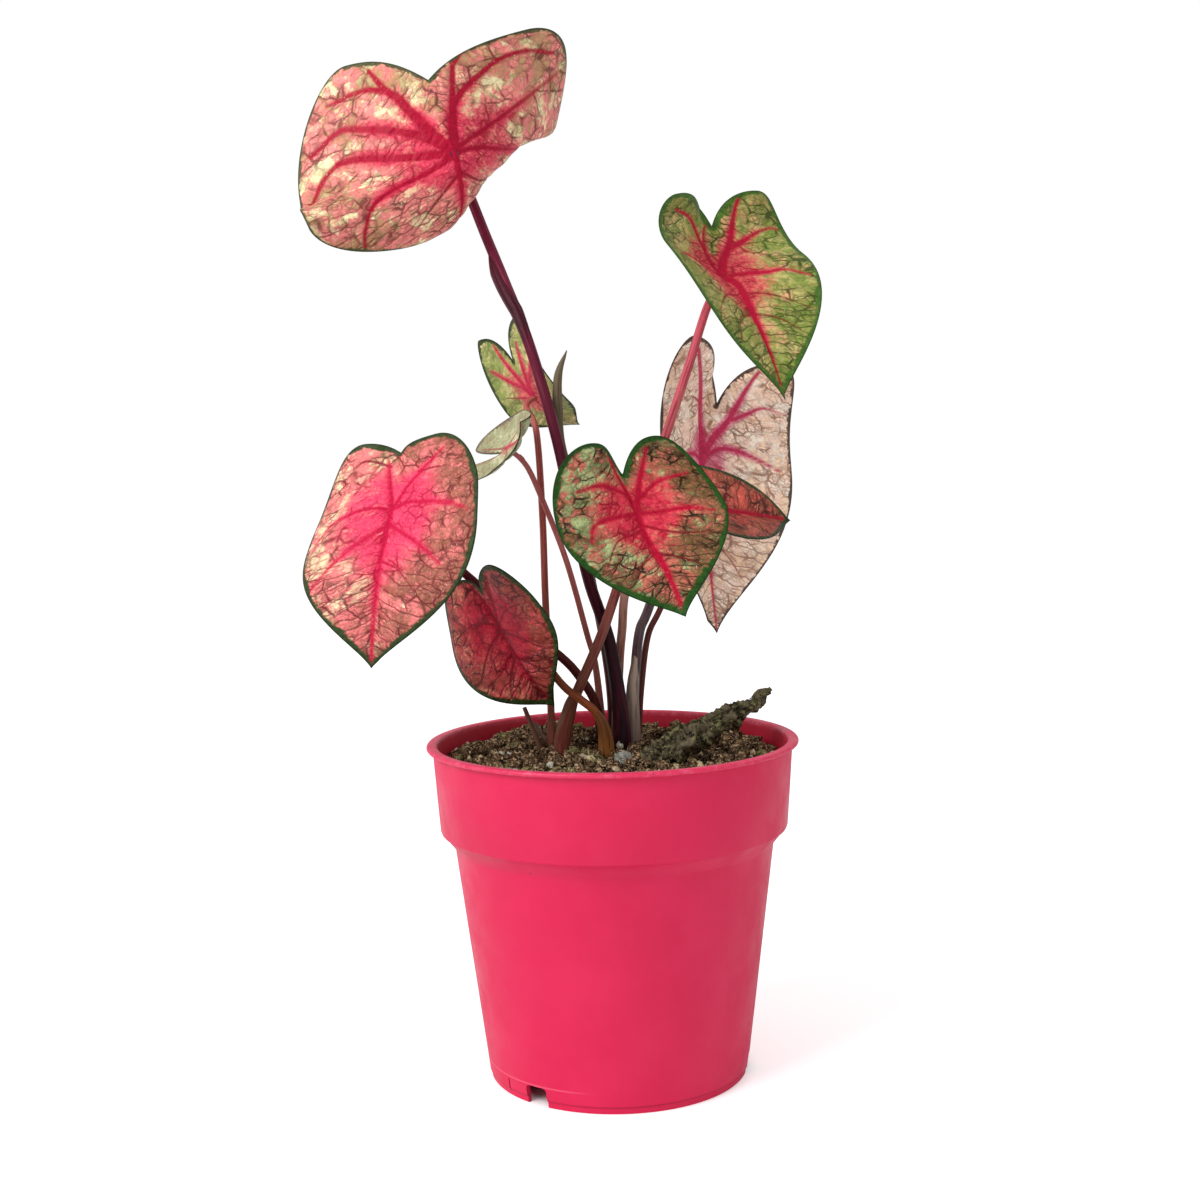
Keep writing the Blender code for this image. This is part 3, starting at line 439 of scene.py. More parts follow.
leaves = {
    "topLeft": {
        "join": (-46.0, 5.0, 297.0), "heading": 9, "dip": 70, "roll": 68,
        "tip": 34.5, "half": 56.5, "wide": 14.5, "lobe": 30.5, "lobeSide": 33.0, "sinus": 23.5,
        "droop": 107, "back": 14, "foldLeft": -28, "foldRight": -3, "curlLeft": 4, "curlRight": -41,
        "twist": -39, "uneven": 0.07, "sweep": 0.02, "ripple": 0.7, "wideRight": 9.0, "lobeLeft": 34.0,
        "fine": 13,
        "veins": [
            [2.1, (0, 0), (-10.5, -19), (-16, -25), (-21, -31)],
            [1.0, (-15, -24), (-24, -26.5), (-38, -25.5)],
            [1.6, (0, 0), (-7, -7.5), (-15, -12.5), (-26, -16.5), (-34.5, -18), (-45, -14)],
            [1.6, (0, 0), (-8, -2), (-16, -4.5), (-28, -8.5), (-36, -9.5), (-43, -6), (-49, 1)],
            [1.2, (0, 0), (-5, 2), (-12, 4), (-23, 7), (-30.5, 12), (-35, 20), (-36, 26)],
            [2.4, (0, 0), (3, -8), (5.5, -15), (9.5, -28)],
            [1.2, (9, -26), (14, -29.5), (24, -30)],
            [1.2, (5.5, -14), (10, -17.5), (16.5, -20.5), (24, -23.5), (34, -24), (46, -21)],
            [0.9, (0, 0), (6, -2.5), (14, -4.5), (30, -9), (50, -15)],
            [0.8, (0, 0), (9, 0.5), (20, 3), (36, 7), (50, 9)],
            [1.1, (0, 0), (-0.5, 8), (-0.5, 18), (0, 33)],
            [0.5, (0, 6), (-9, 14), (-18, 24)],
            [0.5, (0, 6), (10, 13), (24, 20)],
        ],
    },
    "topRight": {
        "join": (38.0, 0.0, 255.5), "heading": -53, "dip": 40, "roll": 4,
        "tip": 48.5, "half": 31.0, "wide": -2.0, "lobe": 32.5, "lobeSide": 19.5, "sinus": 20.0,
        "droop": 36, "back": 74, "foldLeft": 22, "foldRight": 21, "curlLeft": 5, "curlRight": -13,
        "twist": 8, "uneven": 0.01, "sweep": -0.02, "ripple": 0.7, "sinusSide": 4.0, "fine": 11,
        "veins": [
            [1.9, (0, 0), (4, -7), (9, -14), (13, -29)],
            [0.8, (8.5, -11), (15, -14), (23, -17.5), (29, -17)],
            [1.5, (0, 0), (-1, -6), (-2, -12), (-7.5, -21.5), (-18, -25)],
            [0.7, (-1.5, -9), (0, -16), (2, -21)],
            [0.8, (0, 0), (-8, -2), (-16, -3.5), (-21, -2)],
            [0.9, (0, 0), (7, 1.5), (14, 4), (20, 5), (26, 10)],
            [1.7, (0, 0), (2.5, 5), (1.5, 14), (0.5, 24), (0, 44)],
            [0.5, (1.5, 9), (10, 13), (20, 22)],
            [0.5, (1, 9), (-8, 12), (-17, 20)],
            [0.4, (1, 18), (8, 22), (15, 30)],
            [0.4, (0.5, 18), (-7, 21), (-12, 30)],
        ],
    },
    "lowLeft": {
        "join": (-66.5, -20.0, 185.0), "heading": -104, "dip": 51, "roll": 1,
        "tip": 50.5, "half": 33.5, "wide": 11.0, "lobe": 24.0, "lobeSide": 14.0, "sinus": 20.5,
        "droop": 46, "back": 23, "foldLeft": 13, "foldRight": 24, "curlLeft": -59, "curlRight": 1,
        "twist": -13, "uneven": 0.11, "sweep": -0.08, "ripple": 0.7, "fine": 11,
        "veins": [
            [0.8, (0, 0), (-1, -5), (-2, -9), (-4, -18)],
            [0.5, (-3, -16), (-12, -18), (-18, -14)],
            [0.8, (0, 0), (4.5, -7), (9, -11), (15, -15), (20, -18)],
            [0.5, (9, -12), (16, -11.5), (23, -10)],
            [0.7, (0, 0), (-6, -0.5), (-12.5, 1), (-20, 4), (-26, 11)],
            [0.7, (0, 0), (6, -1), (12, 0.5), (25, 4.5), (33, 8)],
            [0.6, (0, 6), (-4, 9), (-10.5, 14.5), (-18, 22), (-24, 30)],
            [0.6, (0, 5), (5, 8.5), (13.5, 14), (23, 21)],
            [0.4, (0, 18), (7, 21), (15, 29)],
            [1.0, (0, 0), (0, 11), (-0.3, 21), (0, 49.5)],
        ],
    },
    "middle": {
        "join": (9.0, -25.0, 182.5), "heading": -49, "dip": 59, "roll": 9,
        "tip": 36.5, "half": 29.5, "wide": 3.0, "lobe": 24.0, "lobeSide": 13.0, "sinus": 13.5,
        "droop": 1, "back": 28, "foldLeft": 10, "foldRight": 20, "curlLeft": -7, "curlRight": -8,
        "twist": 15, "uneven": -0.06, "sweep": 0.05, "ripple": 0.7, "fine": 11,
        "veins": [
            [1.2, (0, 0), (-0.5, -5), (-1.8, -10), (-6, -19.5)],
            [0.6, (-1.5, -6.5), (-6, -8.5), (-12, -10), (-21, -8.5)],
            [1.4, (0, 0), (2, -4.5), (4, -9), (9, -20)],
            [0.6, (2.5, -4.5), (6.5, -7), (11, -9), (21, -10)],
            [0.8, (0, 0), (-5, 0.5), (-10, 1), (-18, 3), (-21, 8)],
            [0.7, (0, 0), (7, 1.5), (16, 3), (23, 6.5)],
            [0.5, (0, 4), (6, 8), (12.5, 11), (20.5, 13)],
            [0.5, (0, 5.5), (-5, 7), (-12, 9), (-18, 16)],
            [0.35, (0.5, 14), (-6, 17), (-11, 22)],
            [0.35, (0.5, 14), (7, 18), (12, 22)],
            [1.3, (0, 0), (-0.4, 8), (1, 19), (0.8, 28), (0, 35.5)],
        ],
    },
    "backRight": {
        "join": (33.0, 52.0, 197.5), "heading": -64, "dip": 84, "roll": -33,
        "tip": 60.5, "half": 37.5, "wide": 5.5, "lobe": 43.5, "lobeSide": 26.5, "sinus": 20.0,
        "droop": 7, "back": 39, "foldLeft": 12, "foldRight": 38, "curlLeft": -7, "curlRight": -4,
        "twist": -5, "uneven": -0.04, "sweep": 0.12, "ripple": 0.7, "sinusSide": 5.0, "fine": 12,
        "veins": [
            [2.6, (0, 0), (-0.5, -10), (-8.5, -26), (-21, -39)],
            [0.5, (-5, -20), (-14, -22), (-22, -20)],
            [1.8, (0, 0), (5, -8), (11, -17), (16, -37)],
            [0.7, (10, -15), (16, -18), (23, -22.5), (33, -21)],
            [0.9, (0, 0), (8, -4), (17, -2), (31, 5)],
            [0.9, (0, 0), (-8, -2), (-18, 0), (-28, 6)],
            [0.5, (0, 12), (9, 17), (20, 27)],
            [0.5, (0, 12), (-9, 17), (-20, 26)],
            [0.4, (0, 28), (7, 33), (13, 42)],
            [0.4, (0, 28), (-7, 33), (-13, 42)],
            [0.9, (0, 0), (0, 12), (0, 30), (0, 59)],
        ],
    },
    "smallRight": {
        "join": (30.0, 4.0, 182.0), "heading": 31, "dip": 4, "roll": 37,
        "tip": 38.5, "half": 21.0, "wide": 1.5, "lobe": 16.0, "lobeSide": 10.5, "sinus": 5.5,
        "droop": 12, "back": 10, "foldLeft": 17, "foldRight": 18, "curlLeft": 0, "curlRight": -20,
        "twist": 16, "uneven": -0.01, "sweep": 0.03, "ripple": 0.35, "fine": 8,
        "veins": [
            [0.6, (0, 0), (-3, -6), (-7, -14)],
            [0.6, (0, 0), (3, -6), (7, -14)],
            [0.5, (0, 0), (8, 0), (16, 5)],
            [0.5, (0, 0), (-8, 0), (-16, 5)],
            [0.4, (0, 8), (8, 13), (13, 19)],
            [0.4, (0, 8), (-8, 13), (-13, 19)],
            [0.8, (0, 0), (0, 12), (0, 37)],
        ],
    },
    "lowMiddle": {
        "join": (-35.0, -12.0, 148.0), "heading": -199, "dip": 112, "roll": -58,
        "tip": 32.0, "half": 26.5, "wide": 1.5, "lobe": 18.5, "lobeSide": 11.5, "sinus": 12.0,
        "droop": 35, "back": 11, "foldLeft": 16, "foldRight": 12, "curlLeft": -21, "curlRight": -22,
        "twist": -17, "uneven": -0.02, "sweep": -0.02, "ripple": 0.7, "fine": 9,
        "veins": [
            [0.7, (0, 0), (-2, -8.5), (-6, -17)],
            [0.7, (0, 0), (3.5, -8.5), (8, -15.5)],
            [0.4, (0, 0), (-8, -3), (-17, -3)],
            [0.4, (0, 0), (9, -3), (18, -3)],
            [0.5, (0, 2), (-8, 6), (-17, 14)],
            [0.5, (0, 2), (8, 6), (16, 13)],
            [0.4, (1, 11), (-6, 17), (-10, 23)],
            [0.4, (1, 11), (7, 16), (11, 21)],
            [0.8, (0, 0), (1.2, 8), (1.6, 16), (0.6, 31)],
        ],
    },
    "smallBack": {
        "join": (-23.5, 36.0, 220.5), "heading": 18, "dip": 50, "roll": -25,
        "tip": 20.0, "half": 15.5, "wide": -1.5, "lobe": 26.0, "lobeSide": 12.0, "sinus": 14.0,
        "droop": -49, "back": 29, "foldLeft": 5, "foldRight": 0, "curlLeft": -27, "curlRight": -21,
        "twist": -3, "uneven": -0.02, "sweep": 0.04, "ripple": 0.35, "fine": 7,
        "veins": [
            [1.1, (0, 0), (1, -8), (5.5, -22)],
            [1.1, (0, 0), (-3, -8), (-7.5, -19)],
            [0.7, (0.5, -4), (5.5, -8.5), (11.5, -15)],
            [0.7, (-1, -4), (-6, -8), (-11, -12)],
            [0.4, (0, 0), (7.5, -3), (12, -5)],
            [0.5, (0, 0), (0, 8), (0, 19)],
        ],
    },
    "folded": {
        "join": (-31.5, 10.0, 203.0), "heading": -47, "dip": -18, "roll": -120,
        "tip": 20.0, "half": 14.5, "wide": 0.5, "lobe": 16.5, "lobeSide": 5.0, "sinus": 4.0,
        "droop": 53, "back": -21, "foldLeft": 12, "foldRight": -6, "curlLeft": -23, "curlRight": -35,
        "twist": 0, "uneven": 0.01, "sweep": 0.07, "ripple": 0.35, "fine": 6,
        "veins": [
            [0.5, (0, 0), (2, -6), (4, -14)],
            [0.5, (0, 0), (-2, -6), (-4, -14)],
            [0.4, (0, 0), (6, 3), (11, 8)],
            [0.4, (0, 0), (-6, 3), (-11, 8)],
            [0.6, (0, 0), (0, 10), (0, 19)],
        ],
    },
}
blade = {"half": 0.3, "edge": 0.12, "rib": 0.75, "groove": 0.3, "pucker": 0.4, "quilt": 0.2, "ease": 3.0,
         "step": 0.5, "mainVein": 0.6, "veinPitch": 3.6}

leafColours = ("field", "patch", "mottle", "net", "glow", "vein", "margin")

# Colours of each leaf: field, patch and mottle fill the blade, then come net, glow, vein and margin.
# mottled and patched are shares of the blade, reach (along the veins) and edge (the margin) millimetres,
# centre the share of the blade that the glow fills, torn how ragged the glow is, bias how far the mottle
# leans to one side. plainUnder gives the underside the upper side's colours.
looks = {
    "topLeft": {
        "field": (242, 140, 134), "patch": (248, 234, 184), "mottle": (160, 142, 92),
        "net": (104, 44, 38), "glow": (218, 44, 84), "vein": (166, 4, 44),
        "margin": (92, 92, 60), "mottled": 0.3, "patched": 0.34, "reach": 4.6, "centre": 0.44,
        "torn": 0.45, "edge": 0.8, "cell": 4.8, "netShare": 0.85,
    },
    "topRight": {
        "field": (196, 184, 114), "patch": (232, 172, 130), "mottle": (100, 130, 42),
        "net": (58, 72, 22), "glow": (222, 56, 90), "vein": (178, 10, 50),
        "margin": (78, 116, 44), "mottled": 0.54, "patched": 0.34, "reach": 2.8, "centre": 0.52,
        "torn": 0.6, "edge": 1.7, "cell": 3.9, "netShare": 0.95,
    },
    "lowLeft": {
        "field": (240, 128, 126), "patch": (250, 206, 168), "mottle": (112, 80, 50), "bias": 0.1,
        "net": (96, 30, 30), "glow": (240, 56, 104), "vein": (192, 12, 62),
        "margin": (54, 70, 36), "mottled": 0.3, "patched": 0.2, "reach": 4.5, "centre": 0.62,
        "torn": 0.4, "edge": 1.6, "cell": 4.2, "netShare": 0.9,
    },
    "middle": {
        "field": (212, 116, 98), "patch": (184, 198, 138), "mottle": (78, 84, 40), "bias": 0.08,
        "net": (48, 32, 16), "glow": (224, 40, 78), "vein": (172, 6, 44),
        "margin": (42, 84, 28), "mottled": 0.5, "patched": 0.36, "reach": 2.4, "centre": 0.56,
        "torn": 0.7, "edge": 1.8, "cell": 3.6, "netShare": 1.0,
    },
    "backRight": {
        "field": (255, 222, 202), "patch": (255, 240, 222), "mottle": (238, 200, 164),
        "net": (142, 92, 66), "glow": (226, 118, 150), "vein": (194, 46, 88),
        "margin": (104, 84, 72), "mottled": 0.3, "patched": 0.46, "reach": 3.0, "centre": 0.3,
        "torn": 0.3, "edge": 0.9, "cell": 4.0, "netShare": 0.85,
    },
    "smallRight": {
        "field": (212, 94, 82), "patch": (232, 138, 112), "mottle": (130, 86, 54),
        "net": (66, 16, 20), "glow": (196, 42, 66), "vein": (172, 12, 46),
        "margin": (50, 70, 34), "mottled": 0.5, "patched": 0.2, "reach": 1.8, "centre": 0.3,
        "torn": 0.6, "edge": 1.4, "cell": 3.2, "netShare": 0.9,
    },
    "lowMiddle": {
        "field": (220, 84, 88), "patch": (240, 140, 118), "mottle": (122, 66, 42),
        "net": (70, 8, 16), "glow": (184, 8, 50), "vein": (128, 0, 28), "bias": 0.06,
        "margin": (48, 66, 30), "mottled": 0.5, "patched": 0.24, "reach": 3.6, "centre": 0.7,
        "torn": 0.6, "edge": 1.6, "cell": 3.4, "netShare": 0.95,
    },
    "smallBack": {
        "field": (196, 192, 122), "patch": (238, 216, 156), "mottle": (126, 148, 72),
        "net": (84, 96, 52), "glow": (226, 92, 108), "vein": (196, 36, 72),
        "margin": (66, 80, 46), "mottled": 0.42, "patched": 0.32, "reach": 2.4, "centre": 0.5,
        "torn": 0.6, "edge": 0.9, "cell": 2.6, "netShare": 0.6, "plainUnder": True,
    },
    "folded": {
        "field": (176, 194, 140), "patch": (222, 230, 188), "mottle": (112, 142, 82),
        "net": (84, 100, 62), "glow": (190, 110, 112), "vein": (186, 62, 90),
        "margin": (96, 84, 58), "mottled": 0.35, "patched": 0.35, "reach": 1.0, "centre": 0.2,
        "torn": 0.5, "edge": 0.7, "cell": 2.4, "netShare": 0.5,
    },
}


def bezier(p0, p1, p2, p3, steps):
    t = np.linspace(0, 1, steps + 1)[:, None]
    p0, p1, p2, p3 = (np.array(p, float) for p in (p0, p1, p2, p3))
    return (1 - t) ** 3 * p0 + 3 * (1 - t) ** 2 * t * p1 + 3 * (1 - t) * t * t * p2 + t ** 3 * p3


def halfOutline(leaf, side):
    # From the sinus round the lobe and the widest point to the tip, drawn as if on the right.
    fine = leaf["fine"]
    back = leaf["lobe"] if side > 0 else leaf.get("lobeLeft", leaf["lobe"])
    high = leaf.get("wideRight", leaf["wide"]) if side > 0 else leaf["wide"]
    foot, lobe = (side * leaf.get("sinusSide", 0), -leaf["sinus"]), (leaf["lobeSide"], -back)
    wide, tip = (leaf["half"], high), (0, leaf["tip"])
    rise, reach = back - leaf["sinus"], tip[1] - wide[1]
    leave = (foot[0] + 0.1 * wide[0], foot[1] - 0.55 * rise)
    inner = bezier(foot, leave, (0.45 * lobe[0] + 0.5 * foot[0], lobe[1]), lobe, 4 * fine)
    outer = bezier(lobe, (lobe[0] + 0.6 * (wide[0] - lobe[0]), lobe[1]),
                   (wide[0], wide[1] - 0.6 * (wide[1] - lobe[1])), wide, 4 * fine)
    last = bezier(wide, (wide[0], wide[1] + 0.5 * reach),
                  (0.16 * wide[0], tip[1] - 0.2 * reach), tip, 7 * fine)
    return np.vstack([inner[:-1], outer[:-1], last])


def leafOutline(leaf):
    right, left = halfOutline(leaf, 1), halfOutline(leaf, -1)[-2:0:-1]
    right[:, 0] *= 1 + leaf["uneven"]
    left[:, 0] *= -(1 - leaf["uneven"])
    return np.vstack([right, left])


def midribCurve(leaf, v):
    # Turn of the midrib at each v, and how far it has gone along and down; the bend eases in at the join.
    grid = np.arange(-70, 70 + blade["step"], blade["step"])
    share = np.clip(0.5 + grid / (2 * blade["ease"]), 0, 1)
    back = -math.radians(leaf["back"]) / leaf["lobe"]
    front = math.radians(leaf["droop"]) / leaf["tip"]
    bend = back + (front - back) * share
    start = len(grid) // 2
    turn, ahead, down = (np.zeros(len(grid)) for _ in range(3))
    turn[1:] = np.cumsum((bend[1:] + bend[:-1]) / 2) * blade["step"]
    turn -= turn[start]
    ahead[1:] = np.cumsum(np.cos((turn[1:] + turn[:-1]) / 2)) * blade["step"]
    down[1:] = np.cumsum(np.sin((turn[1:] + turn[:-1]) / 2)) * blade["step"]
    ahead -= ahead[start]
    down -= down[start]
    return np.interp(v, grid, turn), np.interp(v, grid, ahead), np.interp(v, grid, down)


def bladeSurface(leaf, u, v):
    # Places flat blade points on the bent blade.
    u = u + leaf["sweep"] * (np.clip(v, 0, None) / leaf["tip"]) ** 2 * leaf["half"]
    heading, dip, roll = (math.radians(leaf[k]) for k in ("heading", "dip", "roll"))
    along = np.array([math.cos(dip) * math.cos(heading), math.cos(dip) * math.sin(heading), -math.sin(dip)])
    level = np.array([-math.sin(heading), math.cos(heading), 0.0])
    upright = np.cross(along, level)
    across = math.cos(roll) * level + math.sin(roll) * upright
    normal = -math.sin(roll) * level + math.cos(roll) * upright
    turn, ahead, down = midribCurve(leaf, v)
    rib = np.outer(ahead, along) - np.outer(down, normal)
    ribNormal = np.outer(np.sin(turn), along) + np.outer(np.cos(turn), normal)
    fold = np.radians(np.where(u > 0, leaf["foldRight"], leaf["foldLeft"]))
    curl = np.radians(np.where(u > 0, leaf["curlRight"], leaf["curlLeft"])) / leaf["half"]
    curl = np.where(np.abs(curl) < 1e-6, 1e-6, curl)
    lift = fold + curl * np.abs(u)
    out = (np.sin(lift) - np.sin(fold)) / curl * np.sign(u)
    rise = (np.cos(fold) - np.cos(lift)) / curl
    twist = np.radians(leaf["twist"]) * v / leaf["tip"]
    side = np.outer(np.cos(twist), across) + np.sin(twist)[:, None] * ribNormal
    up = np.outer(-np.sin(twist), across) + np.cos(twist)[:, None] * ribNormal
    return np.array(leaf["join"]) + rib + out[:, None] * side + rise[:, None] * up


def lineDistance(flat, line, widths=None):
    # Distance of each flat point from a line, less the line's half width there.
    best = np.full(len(flat), 1e9)
    for k in range(len(line) - 1):
        a, b = line[k], line[k + 1]
        ab = b - a
        share = np.clip(((flat - a) @ ab) / max(ab @ ab, 1e-9), 0, 1)
        gap = np.linalg.norm(flat - (a + share[:, None] * ab), axis=1)
        if widths is not None:
            gap = gap - (widths[k] + (widths[k + 1] - widths[k]) * share)
        best = np.minimum(best, gap)
    return best


def fanFaces(count, rings, start, flip):
    faces = [(start, start + 1 + k, start + 1 + (k + 1) % count) for k in range(count)]
    for ring in range(rings - 1):
        inner = start + 1 + ring * count
        outer = inner + count
        for k in range(count):
            m = (k + 1) % count
            faces.append((inner + k, outer + k, outer + m, inner + m))
    return faces if flip else [face[::-1] for face in faces]


def leafSide(leaf, edge, rings):
    # Points of one face of the blade with what the shader reads there.
    count = len(edge)
    shares = np.linspace(0, 1, rings + 1)[1:]
    flat = np.vstack([np.zeros((1, 2))] + [edge * share for share in shares])
    share = np.concatenate([[0.0], np.repeat(shares, count)])
    spoke = np.concatenate([[0.0], np.tile(np.arange(count), rings)])
    vein, branch = np.full(len(flat), 1e9), np.full(len(flat), 1e9)
    for width, *points in leaf["veins"]:
        line = smoothPath([(*p, 0) for p in points], 6)[:, :2]
        away = lineDistance(flat, line, width * np.linspace(0.8, 0.24, len(line)))
        if width < blade["mainVein"]:
            branch = np.minimum(branch, away)
        else:
            vein = np.minimum(vein, away)
    margin = lineDistance(flat, np.vstack([edge, edge[:1]]))
    slope = 0.5 * np.abs(flat[:, 0]) - 0.25 * np.abs(flat[:, 0]) ** 2 / leaf["half"]
    return {
        "flat": flat, "share": share, "spoke": spoke / count,
        "vein": vein, "branch": branch, "margin": margin,
        "chevron": (flat[:, 1] - slope) / blade["veinPitch"],
    }


def tipward(leaf, v):
    # 0 from the sinus to just past the join, 1 nearer the tip.
    return np.clip((v / leaf["tip"] - 0.05) * 2.4, 0, 1)


def surfaceNormals(points, faces):
    tris = np.array([face[:3] for face in faces] + [(f[0], f[2], f[3]) for f in faces if len(f) == 4])
    corners = points[tris]
    cross = np.cross(corners[:, 1] - corners[:, 0], corners[:, 2] - corners[:, 0])
    normals = np.zeros_like(points)
    for c in range(3):
        np.add.at(normals, tris[:, c], cross)
    return normals / np.maximum(np.linalg.norm(normals, axis=1), 1e-12)[:, None]


def leafFinish(name, look, seed, shade=None):
    finish, tree, shader = newFinish(name, rough=0.5, specular=0.12)
    paint = {key: srgb(*look[key]) for key in leafColours}
    paint.update(shade or {})
    pitch, cell = blade["veinPitch"], look["cell"]
    darkMargin, darkEdge = ([share * c for c in paint["margin"][:3]] + [1] for share in (0.62, 0.36))

    def times(first, second):
        return addMath(tree, "MULTIPLY", first, second)

    def plus(*values):
        return chain(tree, "ADD", *values)

    def swing(value, size):
        return times(addMath(tree, "SUBTRACT", value, 0.5), size)

    def level(share):
        # Where a grain's values have to be cut to cover about this share of the blade.
        return 0.5 + 0.34 * (0.5 - share)

    spot = vectorMath(tree, "ADD", meshValue(tree, "spot", "Vector"), (0, 0, 37.0 * seed))
    vein, branch, margin = (meshValue(tree, key) for key in ("vein", "branch", "margin"))
    share, chevron, onTip = (meshValue(tree, key) for key in ("share", "chevron", "tipward"))
    warp = vectorMath(tree, "SUBTRACT", grain(tree, spot, 0.28, 3, 0.6, output=1), (0.5, 0.5, 0.5))
    bent = vectorMath(tree, "ADD", spot, vectorMath(tree, "MULTIPLY", warp, (2.4, 2.4, 2.4)))
    rag = grain(tree, bent, 0.55, 4, 0.65, shift=31)
    sideBias = times(ease(tree, channel(tree, spot, 0), -24.0, 24.0, -1.0, 1.0), look.get("bias", 0.0))
    # Two sizes of cell between the fine veins, drawn out along the side veins, each with a tone of its own.
    across = times(channel(tree, bent, 0), 0.62)
    along = plus(times(chevron, pitch), channel(tree, bent, 1), times(channel(tree, spot, 1), -1.0))
    lattice = addNode(tree, "CombineXYZ", (across, along, 37.0 * seed)).outputs[0]
    wide = times(cells(tree, lattice, 1 / cell), cell)
    small = times(cells(tree, lattice, 2.6 / cell), cell / 2.6)
    wideTone = channel(tree, cells(tree, lattice, 1 / cell, "F1", "Color"), 0)
    smallTone = channel(tree, cells(tree, lattice, 2.6 / cell, "F1", "Color"), 1)
    # Side veins run in chevrons towards the tip.
    jitter = swing(grain(tree, spot, 0.16, 2), 1.1)
    sides = times(addMath(tree, "PINGPONG", plus(chevron, jitter), 0.5), pitch)
    between = times(addMath(tree, "PINGPONG", times(plus(chevron, jitter), 3.0), 0.5), 1.2)
    sideLine = times(ease(tree, sides, 0.36, 0.1), onTip)
    fineLine = times(ease(tree, between, 0.22, 0.04, 0, 0.55), onTip)
    net = addMath(tree, "MAXIMUM", ease(tree, wide, 0.42, 0.1), ease(tree, small, 0.26, 0.04, 0, 0.62))
    fade = ease(tree, grain(tree, spot, 0.16, 2, shift=21), 0.36, 0.6, 0.2, 1)
    net = addMath(tree, "MAXIMUM", times(addMath(tree, "MAXIMUM", net, fineLine), fade), times(sideLine, 0.9))
    net = times(net, look["netShare"])
    # The glow fills the middle and follows the main veins out.
    near = times(ease(tree, vein, look["reach"], 0.0), ease(tree, share, 0.95, 0.3, 0.1, 1))
    centre = ease(tree, share, look["centre"] * 1.35, look["centre"] * 0.35)
    glow = plus(addMath(tree, "MAXIMUM", near, centre), swing(rag, look["torn"] * 1.6),
                swing(smallTone, look["torn"] * 0.5))
    glow = ease(tree, glow, 0.16, 0.9)
    # Mottle gathers in whole cells, more of it towards the edge.
    outward = times(addMath(tree, "SUBTRACT", share, 0.62), 0.2)
    blotch = plus(grain(tree, bent, 0.1, 5, 0.74, shift=41), outward,
                  swing(smallTone, 0.16), swing(wideTone, 0.08), sideBias)
    mottle = ease(tree, blotch, level(look["mottled"]) - 0.08, level(look["mottled"]) + 0.09)
    pale = plus(grain(tree, bent, 0.12, 5, 0.72, shift=61), swing(wideTone, -0.14), swing(smallTone, 0.12),
                times(sideBias, -1.0))
    patch = ease(tree, pale, level(look["patched"]) - 0.05, level(look["patched"]) + 0.07)
    tint = ease(tree, grain(tree, bent, 1.1, 4, 0.72, shift=71), 0.32, 0.68)
    colour = mixColour(tree, patch, paint["field"], paint["patch"])
    colour = mixColour(tree, times(mottle, ease(tree, tint, 0, 1, 0.5, 0.95)), colour, paint["mottle"])
    shades = mixColour(tree, smallTone, grey(0.84), grey(1.26))
    colour = mixColour(tree, 0.75, colour, shades, "MULTIPLY")
    colour = mixColour(tree, times(glow, ease(tree, tint, 0, 1, 0.96, 0.78)), colour, paint["glow"])
    colour = mixColour(tree, net, colour, mixColour(tree, times(glow, 0.8), paint["net"], paint["vein"]))
    sideVein = mixColour(tree, plus(times(glow, 0.5), 0.3), paint["net"], paint["vein"])
    onBranch = ease(tree, plus(branch, swing(rag, 0.5)), 0.4, -0.12, 0, 0.92)
    colour = mixColour(tree, onBranch, colour, sideVein)
    onVein = ease(tree, plus(vein, swing(rag, 0.8)), 0.85, -0.3, 0, 0.97)
    colour = mixColour(tree, onVein, colour, paint["vein"])
    # Painted highlights: tiny pale flecks that stand for glints on the quilted surface, kept out of the glow.
    paintedGlint = ease(tree, grain(tree, bent, 1.8, 2, 0.5, shift=81), 0.66, 0.74, 0, 0.5)
    paintedGlint = times(paintedGlint, addMath(tree, "SUBTRACT", 1.0, glow))
    colour = mixColour(tree, paintedGlint, colour, mixColour(tree, 0.5, paint["patch"], grey(1)))
    ragged = plus(margin, swing(rag, 1.8), swing(smallTone, 0.7),
                  swing(grain(tree, spot, 0.09, 1, shift=91), 3.0))
    rim = ease(tree, ragged, look["edge"] * 1.25, look["edge"] * 0.7)
    green = mixColour(tree, ease(tree, rag, 0.35, 0.65), paint["margin"], darkMargin)
    colour = mixColour(tree, rim, colour, green)
    # The very edge is a thin dark line.
    colour = mixColour(tree, ease(tree, margin, 0.42, 0.2, 0, 0.8), colour, darkEdge)
    flecks = mixColour(tree, tint, grey(0.74), grey(1.36))
    colour = mixColour(tree, 0.6, colour, flecks, "MULTIPLY")
    feed(tree, shader.inputs["Base Color"], colour)
    feed(tree, shader.inputs["Roughness"], ease(tree, tint, 0, 1, 0.36, 0.54))
    dome = plus(ease(tree, wide, 0.0, 1.2), times(ease(tree, small, 0, 0.6), 0.4),
                times(ease(tree, sides, 0, 1.0), onTip))
    addBump(tree, shader, dome, 0.00034, 0.6)
    return finish


under = {
    "glow": (196, 120, 112), "vein": (186, 66, 84), "net": (128, 96, 74), "veil": (178, 160, 138),
    "share": 0.45,
}


def underColours(look):
    # The underside is the same picture, paler and greyer.
    shade = {key: srgb(*under[key]) for key in ("glow", "vein", "net")}
    for key in ("field", "patch", "mottle", "margin"):
        pair = zip(srgb(*look[key]), srgb(*under["veil"]))
        shade[key] = tuple((1 - under["share"]) * c + under["share"] * g for c, g in pair)
    return shade


